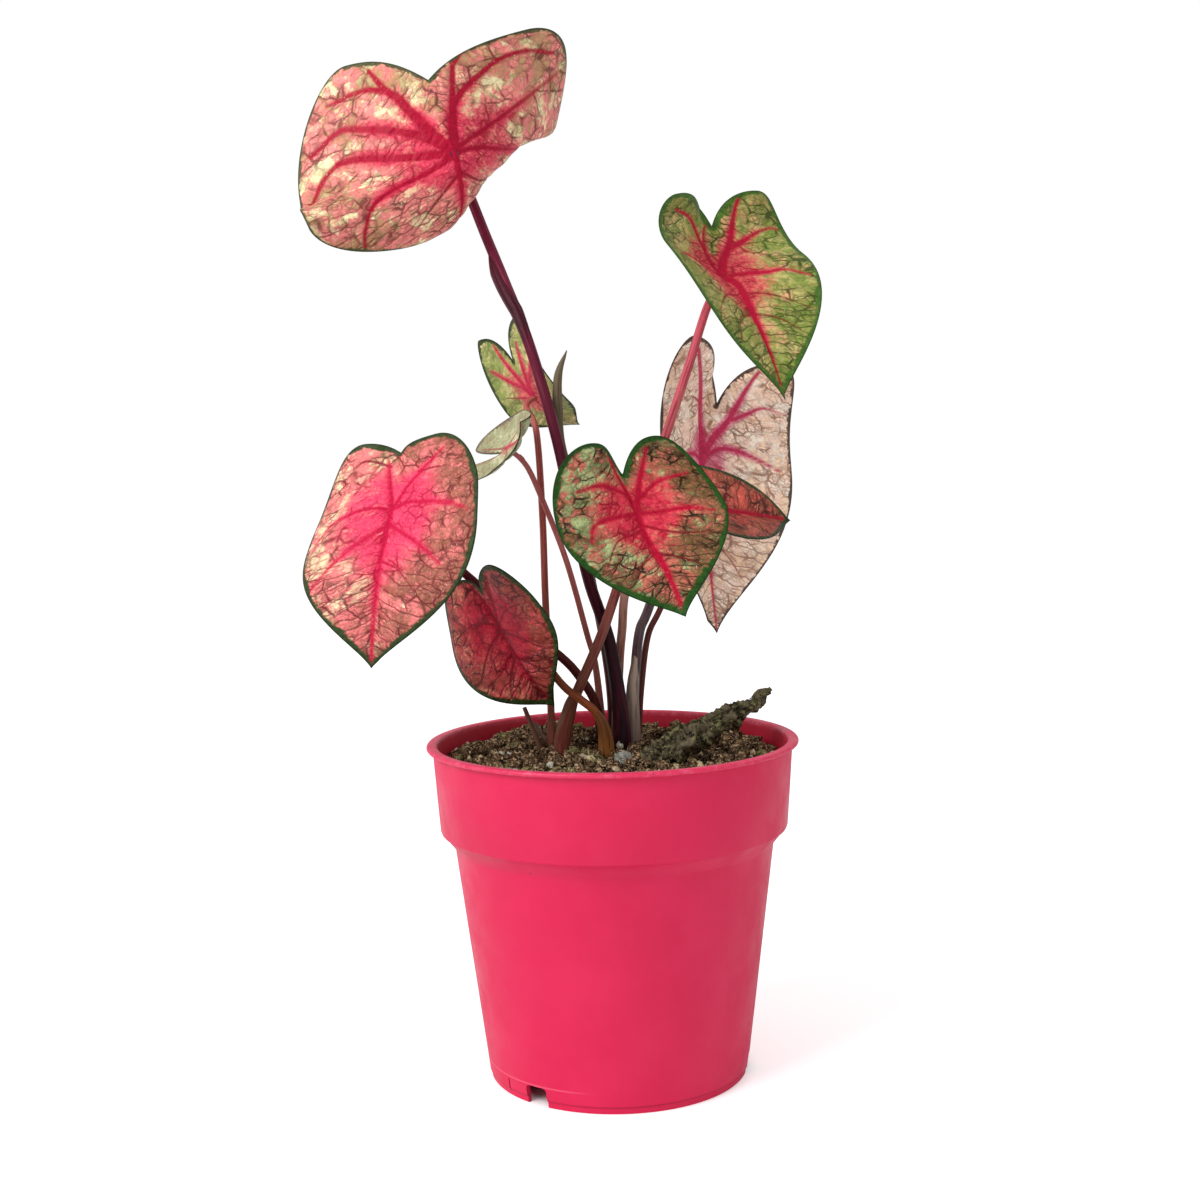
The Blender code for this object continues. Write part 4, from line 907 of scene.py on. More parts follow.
def buildLeaf(name, leaf, seed):
    edge = leafOutline(leaf)
    count = len(edge)
    fineRings = 5 * leaf["fine"]
    top = leafSide(leaf, edge, fineRings)
    low = leafSide(leaf, edge, fineRings // 3)
    points, faces = [], []
    for side, rings, sign in ((top, fineRings, 1), (low, fineRings // 3, -1)):
        flat = side["flat"]
        middle = bladeSurface(leaf, flat[:, 0], flat[:, 1])
        normals = surfaceNormals(middle, fanFaces(count, rings, 0, False))
        wave = leaf["ripple"] * side["share"] ** 2 * np.sin(5 * tau * side["spoke"] + leaf["tip"])
        thick = blade["edge"] + (blade["half"] - blade["edge"]) * np.clip(side["margin"] / 2.5, 0, 1)
        veins = np.minimum(side["vein"], side["branch"])
        near = np.exp(-(np.clip(veins, 0, None) / 0.8) ** 2) * np.clip(side["margin"] / 3, 0, 1)
        if sign > 0:
            rise = thick - blade["groove"] * near
        else:
            rise = -thick - blade["rib"] * near * (1 - 0.85 * side["share"])
        inner = np.clip(side["margin"] / 6, 0, 1) * (1 - near)
        quilt = blade["quilt"] * np.sin(tau * side["chevron"] / 2) * tipward(leaf, flat[:, 1]) * inner
        pucker = blade["pucker"] * (1 - np.exp(-(np.clip(veins, 0, None) / 3.5) ** 2)) * inner
        points.append(middle + normals * (wave + rise + quilt + pucker)[:, None])
    faces = fanFaces(count, fineRings, 0, False)
    start = len(points[0])
    faces += fanFaces(count, fineRings // 3, start, True)
    rimTop, rimLow = start - count, start + len(points[1]) - count
    upper = sum(1 for f in faces if f[0] < start)
    for k in range(count):
        m = (k + 1) % count
        faces.append((rimTop + k, rimTop + m, rimLow + m, rimLow + k))
    finishIndex = [0] * upper + [1] * (len(faces) - upper - count) + [0] * count
    values = {}
    for key in ("vein", "branch", "margin", "share", "chevron"):
        values[key] = np.concatenate([top[key], low[key]])
    flats = np.vstack([top["flat"], low["flat"]])
    values["spot"] = np.column_stack([flats, np.zeros(len(flats))])
    values["tipward"] = tipward(leaf, flats[:, 1])
    look = looks[name]
    shade = None if "plainUnder" in look else underColours(look)
    finishes = [leafFinish(name + "Upper", look, seed), leafFinish(name + "Under", look, seed, shade)]
    node = "leaf_" + snakeName(name)
    makePiece(name + "Blade", np.vstack(points), faces, finishes, node, [node], finishIndex, values)


for seed, (name, leaf) in enumerate(leaves.items()):
    buildLeaf(name, leaf, seed + 1)
print("leaves done:", len(leaves))


# The stalks: top, middle and foot radius, the points each passes, and its colours from top to foot. One that
# shares a leaf's name carries that leaf. A spindle gives radii along the length instead.

stalks = {
    "topLeft": {
        "slot": "stalk_maroon", "radii": (1.5, 1.9, 2.9),
        "path": [
            (-50.0, 24.0, 298.0), (-47.0, 31.0, 296.5), (-43.0, 33.0, 286.0), (-38.5, 29.0, 274.0),
            (-32.0, 22.0, 257.5), (-24.5, 14.0, 237.5), (-16.5, 7.0, 209.0), (-11.5, 3.5, 184.5),
            (-6.5, 2.5, 160.5), (-0.5, 4.0, 140.5), (3.0, 4.0, 116.0), (3.0, 3.0, 104.5), (2.0, 3.5, 90.5),
        ],
        "top": (122, 36, 62), "foot": (30, 12, 18), "streak": (72, 12, 32), "pale": (158, 78, 92),
    },
    "topRight": {
        "slot": "stalk_red", "radii": (1.2, 1.7, 2.8),
        "path": [
            (33.0, 3.5, 246.0), (26.5, 0.5, 227.0), (19.0, -2.5, 206.0), (10.5, -3.0, 181.0),
            (2.0, -0.5, 156.0), (-3.0, -3.0, 142.5), (-10.5, -3.5, 126.0), (-13.5, -2.5, 119.5),
            (-16.5, -0.5, 105.5), (-14.5, 1.0, 90.5),
        ],
        "top": (196, 84, 98), "foot": (112, 78, 58), "streak": (112, 34, 40), "pale": (204, 124, 118),
    },
    "lowLeft": {
        "slot": "stalk_maroon", "radii": (1.3, 1.5, 1.9),
        "path": [
            (-44.5, 0.0, 162.0), (-30.5, 4.0, 147.0), (-16.5, 6.0, 135.5), (-10.0, 7.0, 128.0),
            (-5.0, 8.0, 118.5), (-3.0, 8.5, 103.5), (-3.0, 8.0, 90.5),
        ],
        "top": (96, 26, 40), "foot": (92, 42, 36), "streak": (50, 12, 20), "pale": (140, 66, 62),
    },
    "middle": {
        "slot": "stalk_pink", "radii": (1.3, 1.5, 1.9),
        "path": [
            (7.0, -9.0, 167.5), (5.5, -6.5, 159.5), (4.5, -1.0, 152.5), (4.0, 5.0, 144.5),
            (3.0, 10.0, 134.5), (2.0, 11.5, 119.5), (1.0, 11.5, 104.5), (0.5, 11.0, 90.5),
        ],
        "top": (196, 146, 134), "foot": (142, 96, 80), "streak": (120, 72, 62), "pale": (224, 182, 166),
    },
    "backRight": {
        "slot": "stalk_purple", "radii": (1.4, 1.7, 2.1),
        "path": [
            (23.5, 42.0, 174.0), (13.0, 20.0, 149.0), (9.5, 13.5, 141.0), (7.5, 10.0, 123.0),
            (6.5, 8.5, 104.0), (5.0, 8.5, 90.5),
        ],
        "top": (92, 76, 84), "foot": (98, 80, 80), "streak": (52, 36, 46), "pale": (150, 132, 134),
    },
    "smallRight": {
        "slot": "stalk_brown", "radii": (0.9, 1.1, 1.5),
        "path": [
            (23.5, 13.0, 163.5), (16.5, 16.0, 148.5), (12.5, 18.0, 139.5), (10.0, 19.0, 122.0),
            (8.5, 17.5, 104.5), (7.0, 15.5, 90.5),
        ],
        "top": (112, 58, 56), "foot": (98, 60, 52), "streak": (64, 26, 30), "pale": (152, 98, 90),
    },
    "lowMiddle": {
        "slot": "stalk_brown", "radii": (1.1, 1.4, 2.0),
        "path": [
            (-16.5, -10.0, 129.5), (-10.0, -9.5, 123.5), (-4.5, -6.5, 117.5), (-2.0, -1.5, 105.5),
            (-2.5, 0.0, 90.5),
        ],
        "top": (112, 52, 44), "foot": (160, 92, 40), "streak": (70, 30, 24), "pale": (190, 128, 66),
    },
    "smallBack": {
        "slot": "stalk_pink", "radii": (1.0, 1.2, 1.6),
        "path": [
            (-23.0, 24.0, 208.5), (-21.5, 19.0, 181.0), (-21.0, 14.0, 153.0), (-20.0, 10.5, 119.0),
            (-20.0, 8.0, 105.0), (-17.5, 8.0, 90.5),
        ],
        "top": (190, 100, 96), "foot": (140, 86, 66), "streak": (136, 62, 56), "pale": (206, 142, 126),
    },
    "folded": {
        "slot": "stalk_pink", "radii": (0.8, 1.0, 1.4), "side": -1,
        "path": [
            (-28.5, 12.0, 200.5), (-25.5, 12.5, 196.5), (-21.5, 13.5, 187.0), (-14.0, 14.0, 166.5),
            (-7.5, 14.5, 141.0), (-5.0, 14.0, 130.5), (-3.0, 14.0, 106.0), (-3.0, 12.5, 90.5),
        ],
        "top": (196, 112, 112), "foot": (170, 104, 90), "streak": (150, 78, 74), "pale": (222, 160, 148),
    },
    "rolledLeaf": {
        "slot": "rolled_leaf",
        "spindle": ((0, 0.03, 0.1, 0.2, 0.32, 0.5, 1), (0.15, 0.6, 1.35, 1.75, 1.6, 1.3, 1.6)),
        "path": [
            (-12.0, 12.0, 234.5), (-15.0, 12.0, 226.5), (-15.5, 13.0, 215.5), (-15.0, 14.5, 205.0),
            (-12.0, 15.5, 192.5), (-8.0, 16.5, 172.5), (-4.5, 17.5, 152.5), (-1.5, 18.0, 134.0),
            (0.0, 18.0, 119.0), (0.0, 17.0, 105.0), (-0.5, 15.5, 90.5),
        ],
        "top": (112, 100, 78), "foot": (92, 40, 44), "streak": (66, 50, 46), "pale": (150, 134, 102),
    },
    "oldStub": {
        "slot": "stalk_brown", "radii": (0.7, 1.0, 1.3),
        "path": [(-28.5, 4.5, 119.0), (-26.0, 5.0, 112.0), (-23.5, 5.0, 105.0), (-20.5, 5.5, 90.5)],
        "top": (120, 84, 70), "foot": (90, 58, 50), "streak": (56, 34, 30), "pale": (160, 122, 102),
    },
    "oldSheath": {
        "slot": "stalk_brown", "radii": (0.5, 1.6, 2.0),
        "path": [(-25.5, 14.0, 112.5), (-24.0, 13.5, 108.5), (-22.0, 13.0, 104.5), (-19.5, 12.0, 90.5)],
        "top": (128, 100, 84), "foot": (96, 70, 62), "streak": (66, 46, 42), "pale": (164, 136, 116),
    },
}
stalkBuild = {"around": 28, "steps": 10, "seat": 0.25, "neck": 6, "ridges": 0.035, "crease": 50}


def stalkPath(name):
    stalk = stalks[name]
    points = [np.array(p) for p in stalk["path"]]
    if name in leaves:
        leaf = leaves[name]
        near = bladeSurface(leaf, np.array([0.2, -0.2, 1e-4, 1e-4]), np.array([0.0, 0.0, 0.2, -0.2]))
        normal = np.cross(near[2] - near[3], near[0] - near[1])
        normal *= stalk.get("side", 1) / np.linalg.norm(normal)
        join = np.array(leaf["join"])
        points = [join - normal * stalkBuild["seat"], join - normal * stalkBuild["neck"]] + points
    return smoothPath(points, stalkBuild["steps"])


def stalkRadii(stalk, count):
    share = np.linspace(0, 1, count)
    if "spindle" in stalk:
        return np.interp(share, *stalk["spindle"])
    top, middle, foot = stalk["radii"]
    wide = top + (middle - top) * np.clip(share / 0.75, 0, 1)
    return wide + (foot - middle) * np.clip((share - 0.75) / 0.15, 0, 1)


def stalkFinish(name, stalk, seed):
    finish, tree, shader = newFinish(name, rough=0.4, specular=0.1)
    top, foot, dark, light = (srgb(*stalk[key]) for key in ("top", "foot", "streak", "pale"))
    spot = vectorMath(tree, "ADD", meshValue(tree, "spot", "Vector"), (0, 0, 11.0 * seed))
    share = meshValue(tree, "share")
    colour = mixColour(tree, ease(tree, share, 0.1, 0.9), top, foot)
    streak = ease(tree, grain(tree, spot, 1.3, 4, 0.7), 0.48, 0.62)
    colour = mixColour(tree, addMath(tree, "MULTIPLY", streak, 0.8), colour, dark)
    pale = ease(tree, grain(tree, spot, 1.0, 3, 0.6, shift=5), 0.56, 0.7)
    pale = addMath(tree, "MULTIPLY", pale, ease(tree, share, 0.4, 0.95, 0.55, 0.12))
    colour = mixColour(tree, pale, colour, light)
    dots = ease(tree, grain(tree, objectSpot(tree), 1100, 3, 0.6), 0.62, 0.7, 0, 0.45)
    colour = mixColour(tree, dots, colour, dark)
    feed(tree, shader.inputs["Base Color"], colour)
    feed(tree, shader.inputs["Roughness"], ease(tree, streak, 0, 1, 0.36, 0.5))
    addBump(tree, shader, grain(tree, spot, 1.6, 3, 0.6), 0.0003, 0.6)
    return finish


def tubePiece(path, radii, around, groove=0.0):
    sides, others = tubeRings(path)
    turns = np.linspace(0, tau, around, endpoint=False)
    length = np.concatenate([[0], np.cumsum(np.linalg.norm(np.diff(path, axis=0), axis=1))])
    points, spots, shares = [], [], []
    for ring in range(len(path)):
        for turn in turns:
            ridge = 1 + groove * math.sin(7 * turn + 0.02 * length[ring])
            spoke = math.cos(turn) * sides[ring] + math.sin(turn) * others[ring]
            points.append(path[ring] + radii[ring] * ridge * spoke)
            spots.append((1.6 * math.cos(turn), 1.6 * math.sin(turn), 0.035 * length[ring]))
            shares.append(length[ring] / length[-1])
    faces = ringFaces(len(path), around)
    faces.append(tuple(range(around - 1, -1, -1)))
    last = (len(path) - 1) * around
    faces.append(tuple(range(last, last + around)))
    return points, faces, {"spot": spots, "share": shares}


# Old leaf sheaths that stay round the foot of a stalk: share of the path from top to foot, and radii.
sheaths = {
    "papery": {"stalk": "backRight", "from": 0.58, "to": 0.97, "radii": (1.9, 2.6, 3.0), "lean": (-0.5, -1.3),
               "top": (176, 156, 140), "foot": (132, 112, 104), "streak": (96, 78, 74),
               "pale": (206, 190, 174)},
    "ochre": {"stalk": "lowMiddle", "from": 0.56, "to": 0.97, "radii": (1.5, 2.5, 2.7), "lean": (0.5, -0.4),
              "top": (120, 76, 48), "foot": (168, 108, 52), "streak": (92, 56, 34),
              "pale": (204, 150, 84)},
    "winged": {"stalk": "topLeft", "from": 0.37, "to": 0.53, "radii": (2.0, 2.2, 1.4), "lean": (-1.5, 0.0),
               "top": (90, 34, 48), "foot": (60, 20, 32), "streak": (44, 12, 22),
               "pale": (128, 76, 84)},
}
sheathBuild = {"around": 24, "ridges": 0.06, "crease": 60, "seed": 30}


def buildSheath(name, sheath, seed):
    # A husk a little wider than its stalk, leaning off it towards its ragged upper end.
    path = stalkPath(sheath["stalk"])
    first, last = (int(len(path) * sheath[key]) for key in ("from", "to"))
    path = path[first:last].copy()
    share = np.linspace(0, 1, len(path))
    off = np.sin(math.pi * np.clip(share * 1.6, 0, 1))[:, None] * np.array([*sheath["lean"], 0])
    radii = np.interp(share, (0, 0.28, 0.6, 1), (0.12, *sheath["radii"]))
    points, faces, values = tubePiece(path + off, radii, sheathBuild["around"], sheathBuild["ridges"])
    finish, slot = stalkFinish(name + "Husk", sheath, seed), stalks[sheath["stalk"]]["slot"]
    makePiece(name + "Sheath", points, faces, [finish], slot, (), None, values, sheathBuild["crease"])


for seed, (name, sheath) in enumerate(sheaths.items()):
    buildSheath(name, sheath, sheathBuild["seed"] + seed)

for seed, (name, stalk) in enumerate(stalks.items()):
    path = stalkPath(name)
    radii = stalkRadii(stalk, len(path))
    points, faces, values = tubePiece(path, radii, stalkBuild["around"], stalkBuild["ridges"])
    finish = stalkFinish(name + "Skin", stalk, seed)
    node = ("stalk_" if name in leaves else "") + snakeName(name)
    crease = stalkBuild["crease"]
    makePiece(name + "Stalk", points, faces, [finish], stalk["slot"], [node], None, values, crease)
print("stalks done:", len(stalks))


# The soil: its uneven surface, crumbs, perlite, moss and fibres.

soil = {
    "level": 101.0, "mound": 4.0, "heap": 3.0, "rings": 70, "around": 200,
    "dark": (92, 72, 56), "brown": (176, 148, 114), "black": (28, 22, 18), "gap": 0.35,
}


def soilHeight(x, y):
    mound = soil["mound"] * math.exp(-((x + 5) ** 2 + (y - 8) ** 2) / 600)
    heap = soil["heap"] * math.exp(-((x + 24) ** 2 + (y - 24) ** 2) / 260)
    bumps = 0.5 * math.sin(0.31 * x + 1.0) * math.cos(0.27 * y) + 0.35 * math.sin(0.52 * y - 0.45 * x)
    return soil["level"] + 0.035 * y + mound + heap + bumps


def roughSoil(x, y):
    lumpy = noise.noise(Vector((0.22 * x, 0.22 * y, 3.0))) * 1.6
    grainy = noise.noise(Vector((0.7 * x, 0.7 * y, 9.0))) * 0.9
    return soilHeight(x, y) + lumpy + grainy - 0.2


def soilFinish(name, first, second, third, scale=700):
    finish, tree, shader = newFinish(name, rough=0.95, specular=0.05)
    first, second, third = (srgb(*colour) for colour in (first, second, third))
    spot = objectSpot(tree)
    colour = mixColour(tree, ease(tree, grain(tree, spot, scale * 0.4, 5, 0.7), 0.4, 0.62), first, second)
    colour = mixColour(tree, ease(tree, grain(tree, spot, scale, 4, 0.7, shift=3), 0.52, 0.62), colour, third)
    feed(tree, shader.inputs["Base Color"], colour)
    height = addMath(tree, "ADD", grain(tree, spot, scale, 5, 0.7), cells(tree, spot, scale * 1.3, "F1"))
    addBump(tree, shader, height, 0.0008, 0.9)
    return finish


def buildSoil():
    edge = innerRadius(soil["level"] - 3) - 0.15
    low = pot["floorZ"] + pot["floor"] + soil["gap"]
    lower = [(0, low), (pot["foot"] + lean * low - pot["wall"] - soil["gap"], low),
             (pot["bodyTop"] - pot["wall"] - soil["gap"], pot["bodyZ"]), (innerRadius(83.4) - 0.55, 83.4),
             (edge, soil["level"] - 4)]
    shares = np.linspace(1, 0.02, soil["rings"])
    points, faces = lathe(lower + [(edge * s, 0) for s in shares] + [(0, 0)], soil["around"])
    first = 1 + 4 * soil["around"]
    shaped = list(points[:first]) + [(x, y, roughSoil(x, y)) for x, y, _ in points[first:]]
    finish = soilFinish("peat", soil["dark"], soil["black"], soil["brown"])
    makePiece("soilBed", shaped, faces, [finish], "soil", ["soil"])


def scatterSpots(count, seed, keep):
    chance = random.Random(seed)
    edge = innerRadius(soil["level"]) - 1.0
    spots = []
    while len(spots) < count:
        turn, reach = tau * chance.random(), edge * math.sqrt(chance.random())
        x, y = reach * math.cos(turn), reach * math.sin(turn)
        if chance.random() < keep(x, y):
            spots.append((x, y, chance))
    return spots


def crumbMesh(seed, rough=0.35, level=2):
    # One uneven grain of unit size.
    work = bmesh.new()
    bmesh.ops.create_icosphere(work, subdivisions=level, radius=1.0)
    for vert in work.verts:
        vert.co *= 1 + rough * noise.noise(vert.co * 1.7 + Vector((seed * 5.3, 0, 0))) * 2
    points = np.array([v.co[:] for v in work.verts])
    faces = np.array([[v.index for v in f.verts] for f in work.faces])
    work.free()
    return points, faces


def scatter(name, kind):
    shapes = [crumbMesh(kind["seed"] + n, kind["rough"], kind["level"]) for n in range(5)]
    parts = []
    for n, (x, y, chance) in enumerate(scatterSpots(kind["count"], kind["seed"], kind["keep"])):
        size = kind["small"] + (kind["large"] - kind["small"]) * chance.random() ** 1.9
        points, faces = shapes[n % 5]
        angle = tau * chance.random()
        turn = Matrix.Rotation(angle, 3, Vector((chance.random(), chance.random(), 1)).normalized())
        scale = np.array([size * (0.75 + 0.6 * chance.random()), size, size * kind["flat"]])
        # No crumb reaches into the pot's wall.
        pull = min(1.0, (innerRadius(soil["level"]) - 0.3 - 1.6 * size) / max(math.hypot(x, y), 1e-6))
        x, y = x * pull, y * pull
        turned = (points * scale) @ np.array(turn).T
        sit = roughSoil(x, y) + size * kind["flat"] * (kind["sit"] + 0.4 * chance.random())
        parts.append((turned + (x, y, sit), faces))
    finish = soilFinish(name + "Grain", *kind["colours"], scale=1200)
    makePiece(name, *joinParts(parts), [finish], kind["slot"])


def anywhere(x, y):
    return 1.0


def frontward(x, y):
    # Thickest in a band just behind the front rim.
    band = math.hypot(x, y) > 34 and y < -12
    return 1.0 if band else 0.35 if y < -10 else 0.16


crumbs = {
    "peatCrumbs": {
        "count": 1500, "seed": 11, "small": 0.4, "large": 2.8, "rough": 0.4, "level": 2, "flat": 0.8,
        "sit": 0.3, "keep": anywhere, "slot": "soil",
        "colours": ((116, 90, 68), (24, 18, 14), (224, 190, 148)),
    },
    "mossCrumbs": {
        "count": 460, "seed": 23, "small": 0.5, "large": 2.2, "rough": 0.5, "level": 2, "flat": 0.8,
        "sit": 0.4, "keep": frontward, "slot": "soil",
        "colours": ((148, 138, 92), (88, 78, 54), (204, 192, 140)),
    },
    "tanCrumbs": {
        "count": 900, "seed": 31, "small": 0.35, "large": 1.8, "rough": 0.45, "level": 1, "flat": 0.7,
        "sit": 0.5, "keep": frontward, "slot": "soil",
        "colours": ((232, 208, 166), (176, 148, 110), (252, 242, 212)),
    },
    "perliteCrumbs": {
        "count": 620, "seed": 47, "small": 0.32, "large": 1.4, "rough": 0.3, "level": 2, "flat": 0.85,
        "sit": 0.5, "keep": frontward, "slot": "perlite",
        "colours": ((246, 242, 226), (216, 210, 190), (255, 253, 246)),
    },
}
fibres = {
    "count": 130, "seed": 61, "shapeSeed": 5, "short": 3, "longer": 7, "sides": 5,
    "colours": ((120, 88, 56), (70, 48, 34), (176, 142, 96)),
}


def buildFibres():
    # Thin curved coir and root fibres lying on the soil.
    chance = random.Random(fibres["shapeSeed"])
    limit = innerRadius(soil["level"]) - 1.2
    parts, spots, shares = [], [], []
    for x, y, _ in scatterSpots(fibres["count"], fibres["seed"], anywhere):
        turn = tau * chance.random()
        length = fibres["short"] + fibres["longer"] * chance.random()
        path = []
        for t in np.linspace(-0.5, 0.5, 6):
            px = x + length * t * math.cos(turn) + 1.2 * math.sin(5 * t + turn)
            py = y + length * t * math.sin(turn)
            reach = math.hypot(px, py)
            if reach > limit:
                px, py = px * limit / reach, py * limit / reach
            path.append((px, py, roughSoil(px, py) + 0.7 + 1.1 * abs(t) * chance.random()))
        path = smoothPath(path, 3)
        radii = 0.08 + 0.16 * np.sin(np.linspace(0.15, math.pi - 0.15, len(path)))
        points, faces, values = tubePiece(path, radii, fibres["sides"])
        parts.append((points, faces))
        spots += values["spot"]
        shares += values["share"]
    finish = soilFinish("coir", *fibres["colours"])
    values = {"spot": spots, "share": shares}
    makePiece("coirFibres", *joinParts(parts), [finish], "soil", values=values)


buildSoil()
for name, kind in crumbs.items():
    scatter(name, kind)
buildFibres()
print("soil done")


# The mossy bark, the grey lump, and the two larger perlite lumps.

bark = {
    "points": [(8.0, -12.5, 101.6), (15.5, -10.0, 105.0), (23.0, -7.0, 108.2), (30.0, -3.0, 111.2),
               (37.0, 0.0, 114.5), (45.5, 4.0, 118.0), (52.0, 6.0, 123.4)],
    "radii": (2.2, 3.6, 4.1, 3.7, 2.9, 1.9, 0.7), "around": 48, "steps": 14, "cushions": 620, "seed": 8,
    "shapeSeed": 70,
    "wood": (112, 102, 82), "dark": (34, 28, 22), "moss": (130, 128, 88), "lichen": (178, 172, 132),
    "shadow": (66, 62, 42),
}


def buildBark():
    path = smoothPath(bark["points"], bark["steps"])
    radii = smoothPath([(r, 0, 0) for r in bark["radii"]], bark["steps"])[:, 0]
    points, faces, values = tubePiece(path, radii, bark["around"])
    shaped = []
    for n, point in enumerate(points):
        middle, radius = path[n // bark["around"]], radii[n // bark["around"]]
        away = np.array(point) - middle
        spot = Vector(point)
        rough = 0.8 * noise.noise(spot * 0.3) + 0.55 * noise.noise(spot * 0.8) + 0.3 * noise.noise(spot * 2.1)
        shaped.append(middle + away * (1.12 + rough * min(1.2, 3.2 / radius)))
    finish = soilFinish("mossyBark", bark["wood"], bark["dark"], bark["moss"], 520)
    makePiece("barkPiece", shaped, faces, [finish], "bark", ["bark"], None, values)
    # Cushions of moss and lichen crumbs on its upper side.
    shapes = [crumbMesh(bark["shapeSeed"] + n, 0.5, 2) for n in range(5)]
    chance = random.Random(bark["seed"])
    parts = []
    for n in range(bark["cushions"]):
        ring = int(len(path) * chance.random() ** 0.9)
        turn = tau * chance.random()
        base = np.array(points[ring * bark["around"] + int(turn / tau * bark["around"])])
        away = base - path[ring]
        if away[2] < -0.35 * radii[ring] or noise.noise(Vector(base) * 0.28) < -0.05:
            continue
        size = 0.25 + 0.55 * chance.random() ** 2
        grains, grainFaces = shapes[n % 5]
        parts.append((grains * size + path[ring] + away * (1.0 + 0.3 * chance.random()), grainFaces))
    finish = soilFinish("mossCushion", bark["moss"], bark["shadow"], bark["lichen"], 1500)
    makePiece("barkMoss", *joinParts(parts), [finish], "bark")


tuberColours = ((96, 68, 44), (60, 42, 30), (134, 98, 64))
lumps = {
    "greyLump": {"node": "lump", "centre": (3.5, -11.0, 104.2), "size": (3.2, 2.8, 2.6),
                 "slot": "lump", "colours": ((176, 176, 166), (122, 122, 112), (212, 212, 202))},
    "perliteLeft": {"node": "perlite_left", "centre": (-9.5, -9.0, 104.4), "size": (1.7, 1.5, 1.3),
                    "slot": "perlite", "colours": ((206, 204, 184), (150, 150, 122), (236, 232, 216))},
    "perliteRight": {"node": "perlite_right", "centre": (46.0, -6.0, 100.9), "size": (2.3, 1.5, 1.4),
                     "slot": "perlite", "colours": ((204, 190, 150), (160, 142, 104), (232, 222, 190))},
}


def buildLump(name, lump, seed):
    work = bmesh.new()
    bmesh.ops.create_icosphere(work, subdivisions=5, radius=1.0)
    for vert in work.verts:
        spot = vert.co.normalized()
        bumps = 0.16 * noise.noise(spot * 1.6 + Vector((seed, 0, 0)))
        knobs = 0.14 * abs(noise.noise(spot * 6.0 + Vector((0, seed, 0))))
        pores = 0.07 * noise.noise(spot * 14.0)
        vert.co = spot * (0.9 + bumps + knobs + pores)
    points = [np.array(v.co) * lump["size"] + lump["centre"] for v in work.verts]
    faces = [tuple(v.index for v in f.verts) for f in work.faces]
    work.free()
    finish = soilFinish(name + "Grit", *lump["colours"], scale=1400)
    makePiece(name, points, faces, [finish], lump["slot"], [lump["node"]])


buildBark()
for seed, (name, lump) in enumerate(lumps.items()):
    buildLump(name, lump, seed + 1)
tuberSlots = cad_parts["tuber"].data.materials
tuberSlots.clear()
tuberSlots.append(soilFinish("tuberCork", *tuberColours))
print("bark and lumps done")


# Floor, light and camera.

studio = {
    "floor": 60.0, "ambient": 0.6, "backdrop": 1.0, "glow": 0.48, "aim": (0, 0, 0.15),
    "key": {"place": (-1.1, -0.9, 1.2), "size": 1.0, "power": 24},
    "fill": {"place": (1.2, -0.8, 0.9), "size": 1.4, "power": 2},
}
camera = {"back": 544.4, "high": 204.0, "pitch": 5.24, "yaw": -0.313, "roll": -1.287, "focal": 1700.0,
          "pixels": 1200, "sensor": 36.0}


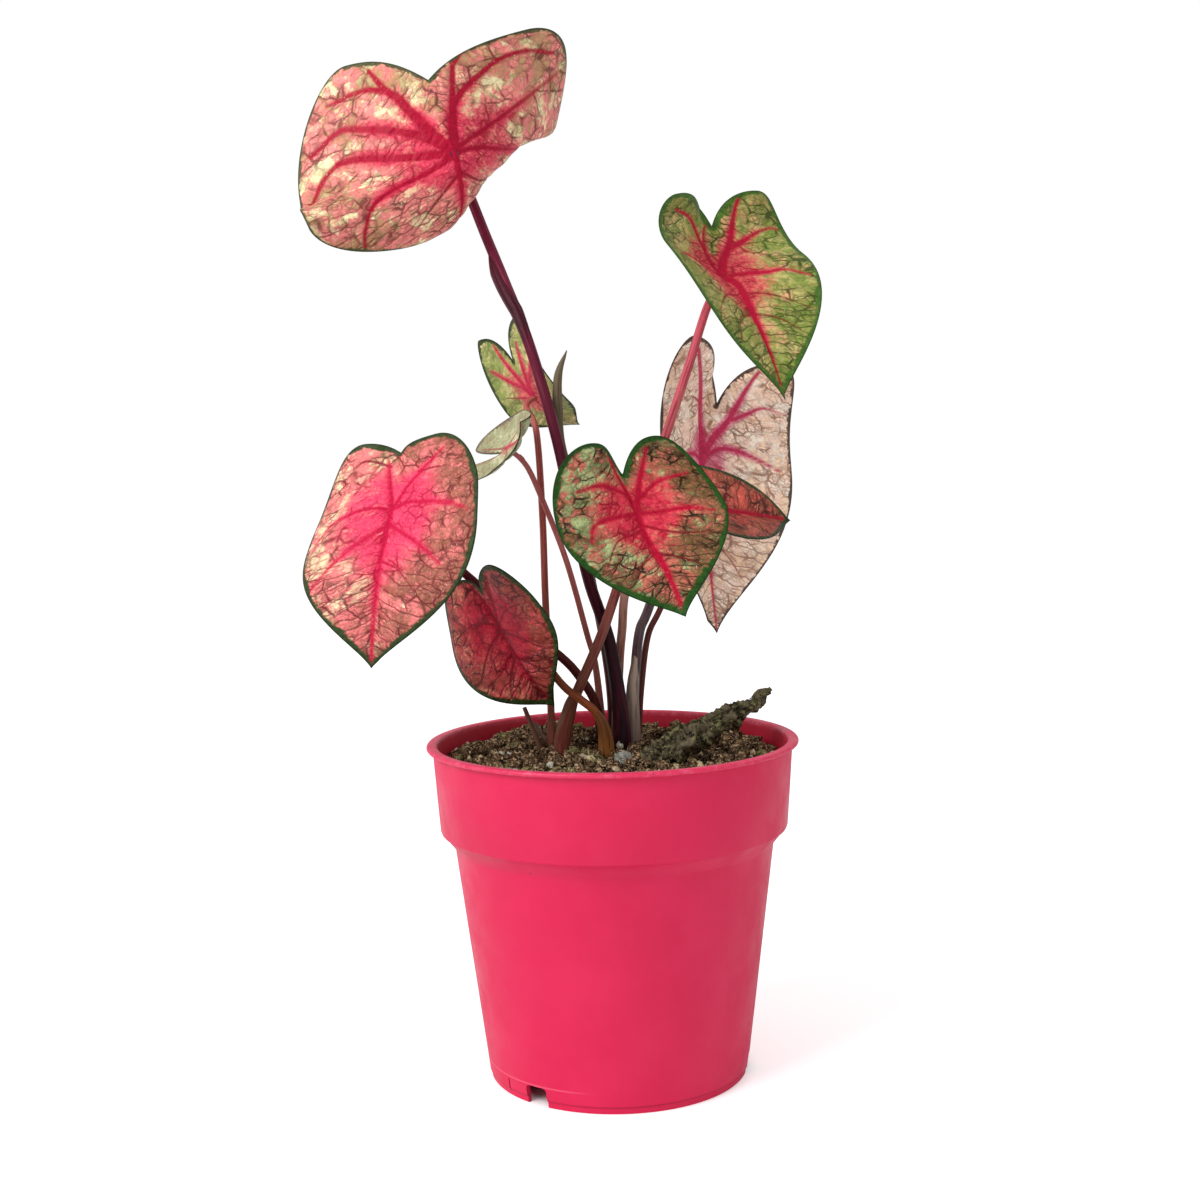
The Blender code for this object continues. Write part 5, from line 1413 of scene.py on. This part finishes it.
def buildFloor():
    mesh = bpy.data.meshes.new("studioFloor")
    half = studio["floor"] / 2
    corners = [(-half, -half, 0), (half, -half, 0), (half, half, 0), (-half, half, 0)]
    mesh.from_pydata(corners, [], [(0, 1, 2, 3)])
    finish, tree, shader = newFinish("palePaper", rough=0.8, specular=0.2)
    pale = mixColour(tree, grain(tree, objectSpot(tree), 30, 3), grey(0.9), grey(0.93))
    feed(tree, shader.inputs["Base Color"], pale)
    # It glows for the camera alone, and not under the pot, so that it doesn't light the plant.
    shader.inputs["Emission Color"].default_value = grey(1)
    seen = addNode(tree, "LightPath").outputs["Is Camera Ray"]
    away = vectorMath(tree, "SUBTRACT", objectSpot(tree), (axisX * mm, axisY * mm, 0))
    squares = [addMath(tree, "POWER", channel(tree, away, index), 2.0) for index in (0, 1)]
    away = addMath(tree, "SQRT", addMath(tree, "ADD", *squares))
    glow = addMath(tree, "MULTIPLY", seen, ease(tree, away, 0.035, 0.046, 0, studio["glow"]))
    feed(tree, shader.inputs["Emission Strength"], glow)
    mesh.materials.append(finish)
    addObject("studioFloor", mesh)


def addLamp(name, lamp):
    light = bpy.data.lights.new(name, "AREA")
    light.energy = lamp["power"]
    light.size = lamp["size"]
    item = addObject(name, light)
    item.location = lamp["place"]
    aim = Vector(studio["aim"]) - Vector(lamp["place"])
    item.rotation_euler = aim.to_track_quat("-Z", "Y").to_euler()


def addCamera():
    pitch, yaw, roll = (math.radians(camera[k]) for k in ("pitch", "yaw", "roll"))
    ahead = Vector((math.sin(yaw) * math.cos(pitch), math.cos(yaw) * math.cos(pitch), -math.sin(pitch)))
    right = Vector((math.cos(yaw), -math.sin(yaw), 0))
    up = right.cross(ahead)
    across = math.cos(roll) * right + math.sin(roll) * up
    upward = -math.sin(roll) * right + math.cos(roll) * up
    lens = bpy.data.cameras.new("photoCamera")
    lens.sensor_width = camera["sensor"]
    lens.lens = camera["sensor"] * camera["focal"] / camera["pixels"]
    lens.clip_end = 100
    item = addObject("photoCamera", lens)
    turn = Matrix((across, upward, -ahead)).transposed().to_4x4()
    spot = Vector((axisX * mm, (axisY - camera["back"]) * mm, camera["high"] * mm))
    item.matrix_world = Matrix.Translation(spot) @ turn
    bpy.context.scene.camera = item


def lightWorld():
    world = bpy.data.worlds.new("studioWorld")
    world.use_nodes = True
    tree = world.node_tree
    back = tree.nodes["Background"]
    back.inputs["Color"].default_value = grey(1)
    seen = addNode(tree, "LightPath").outputs["Is Camera Ray"]
    strength = ease(tree, seen, 0.0, 1.0, studio["ambient"], studio["backdrop"])
    feed(tree, back.inputs["Strength"], strength)
    bpy.context.scene.world = world


buildFloor()
addLamp("keyLight", studio["key"])
addLamp("fillLight", studio["fill"])
addCamera()
lightWorld()
bpy.context.scene.view_settings.view_transform = "Standard"
print("studio done")
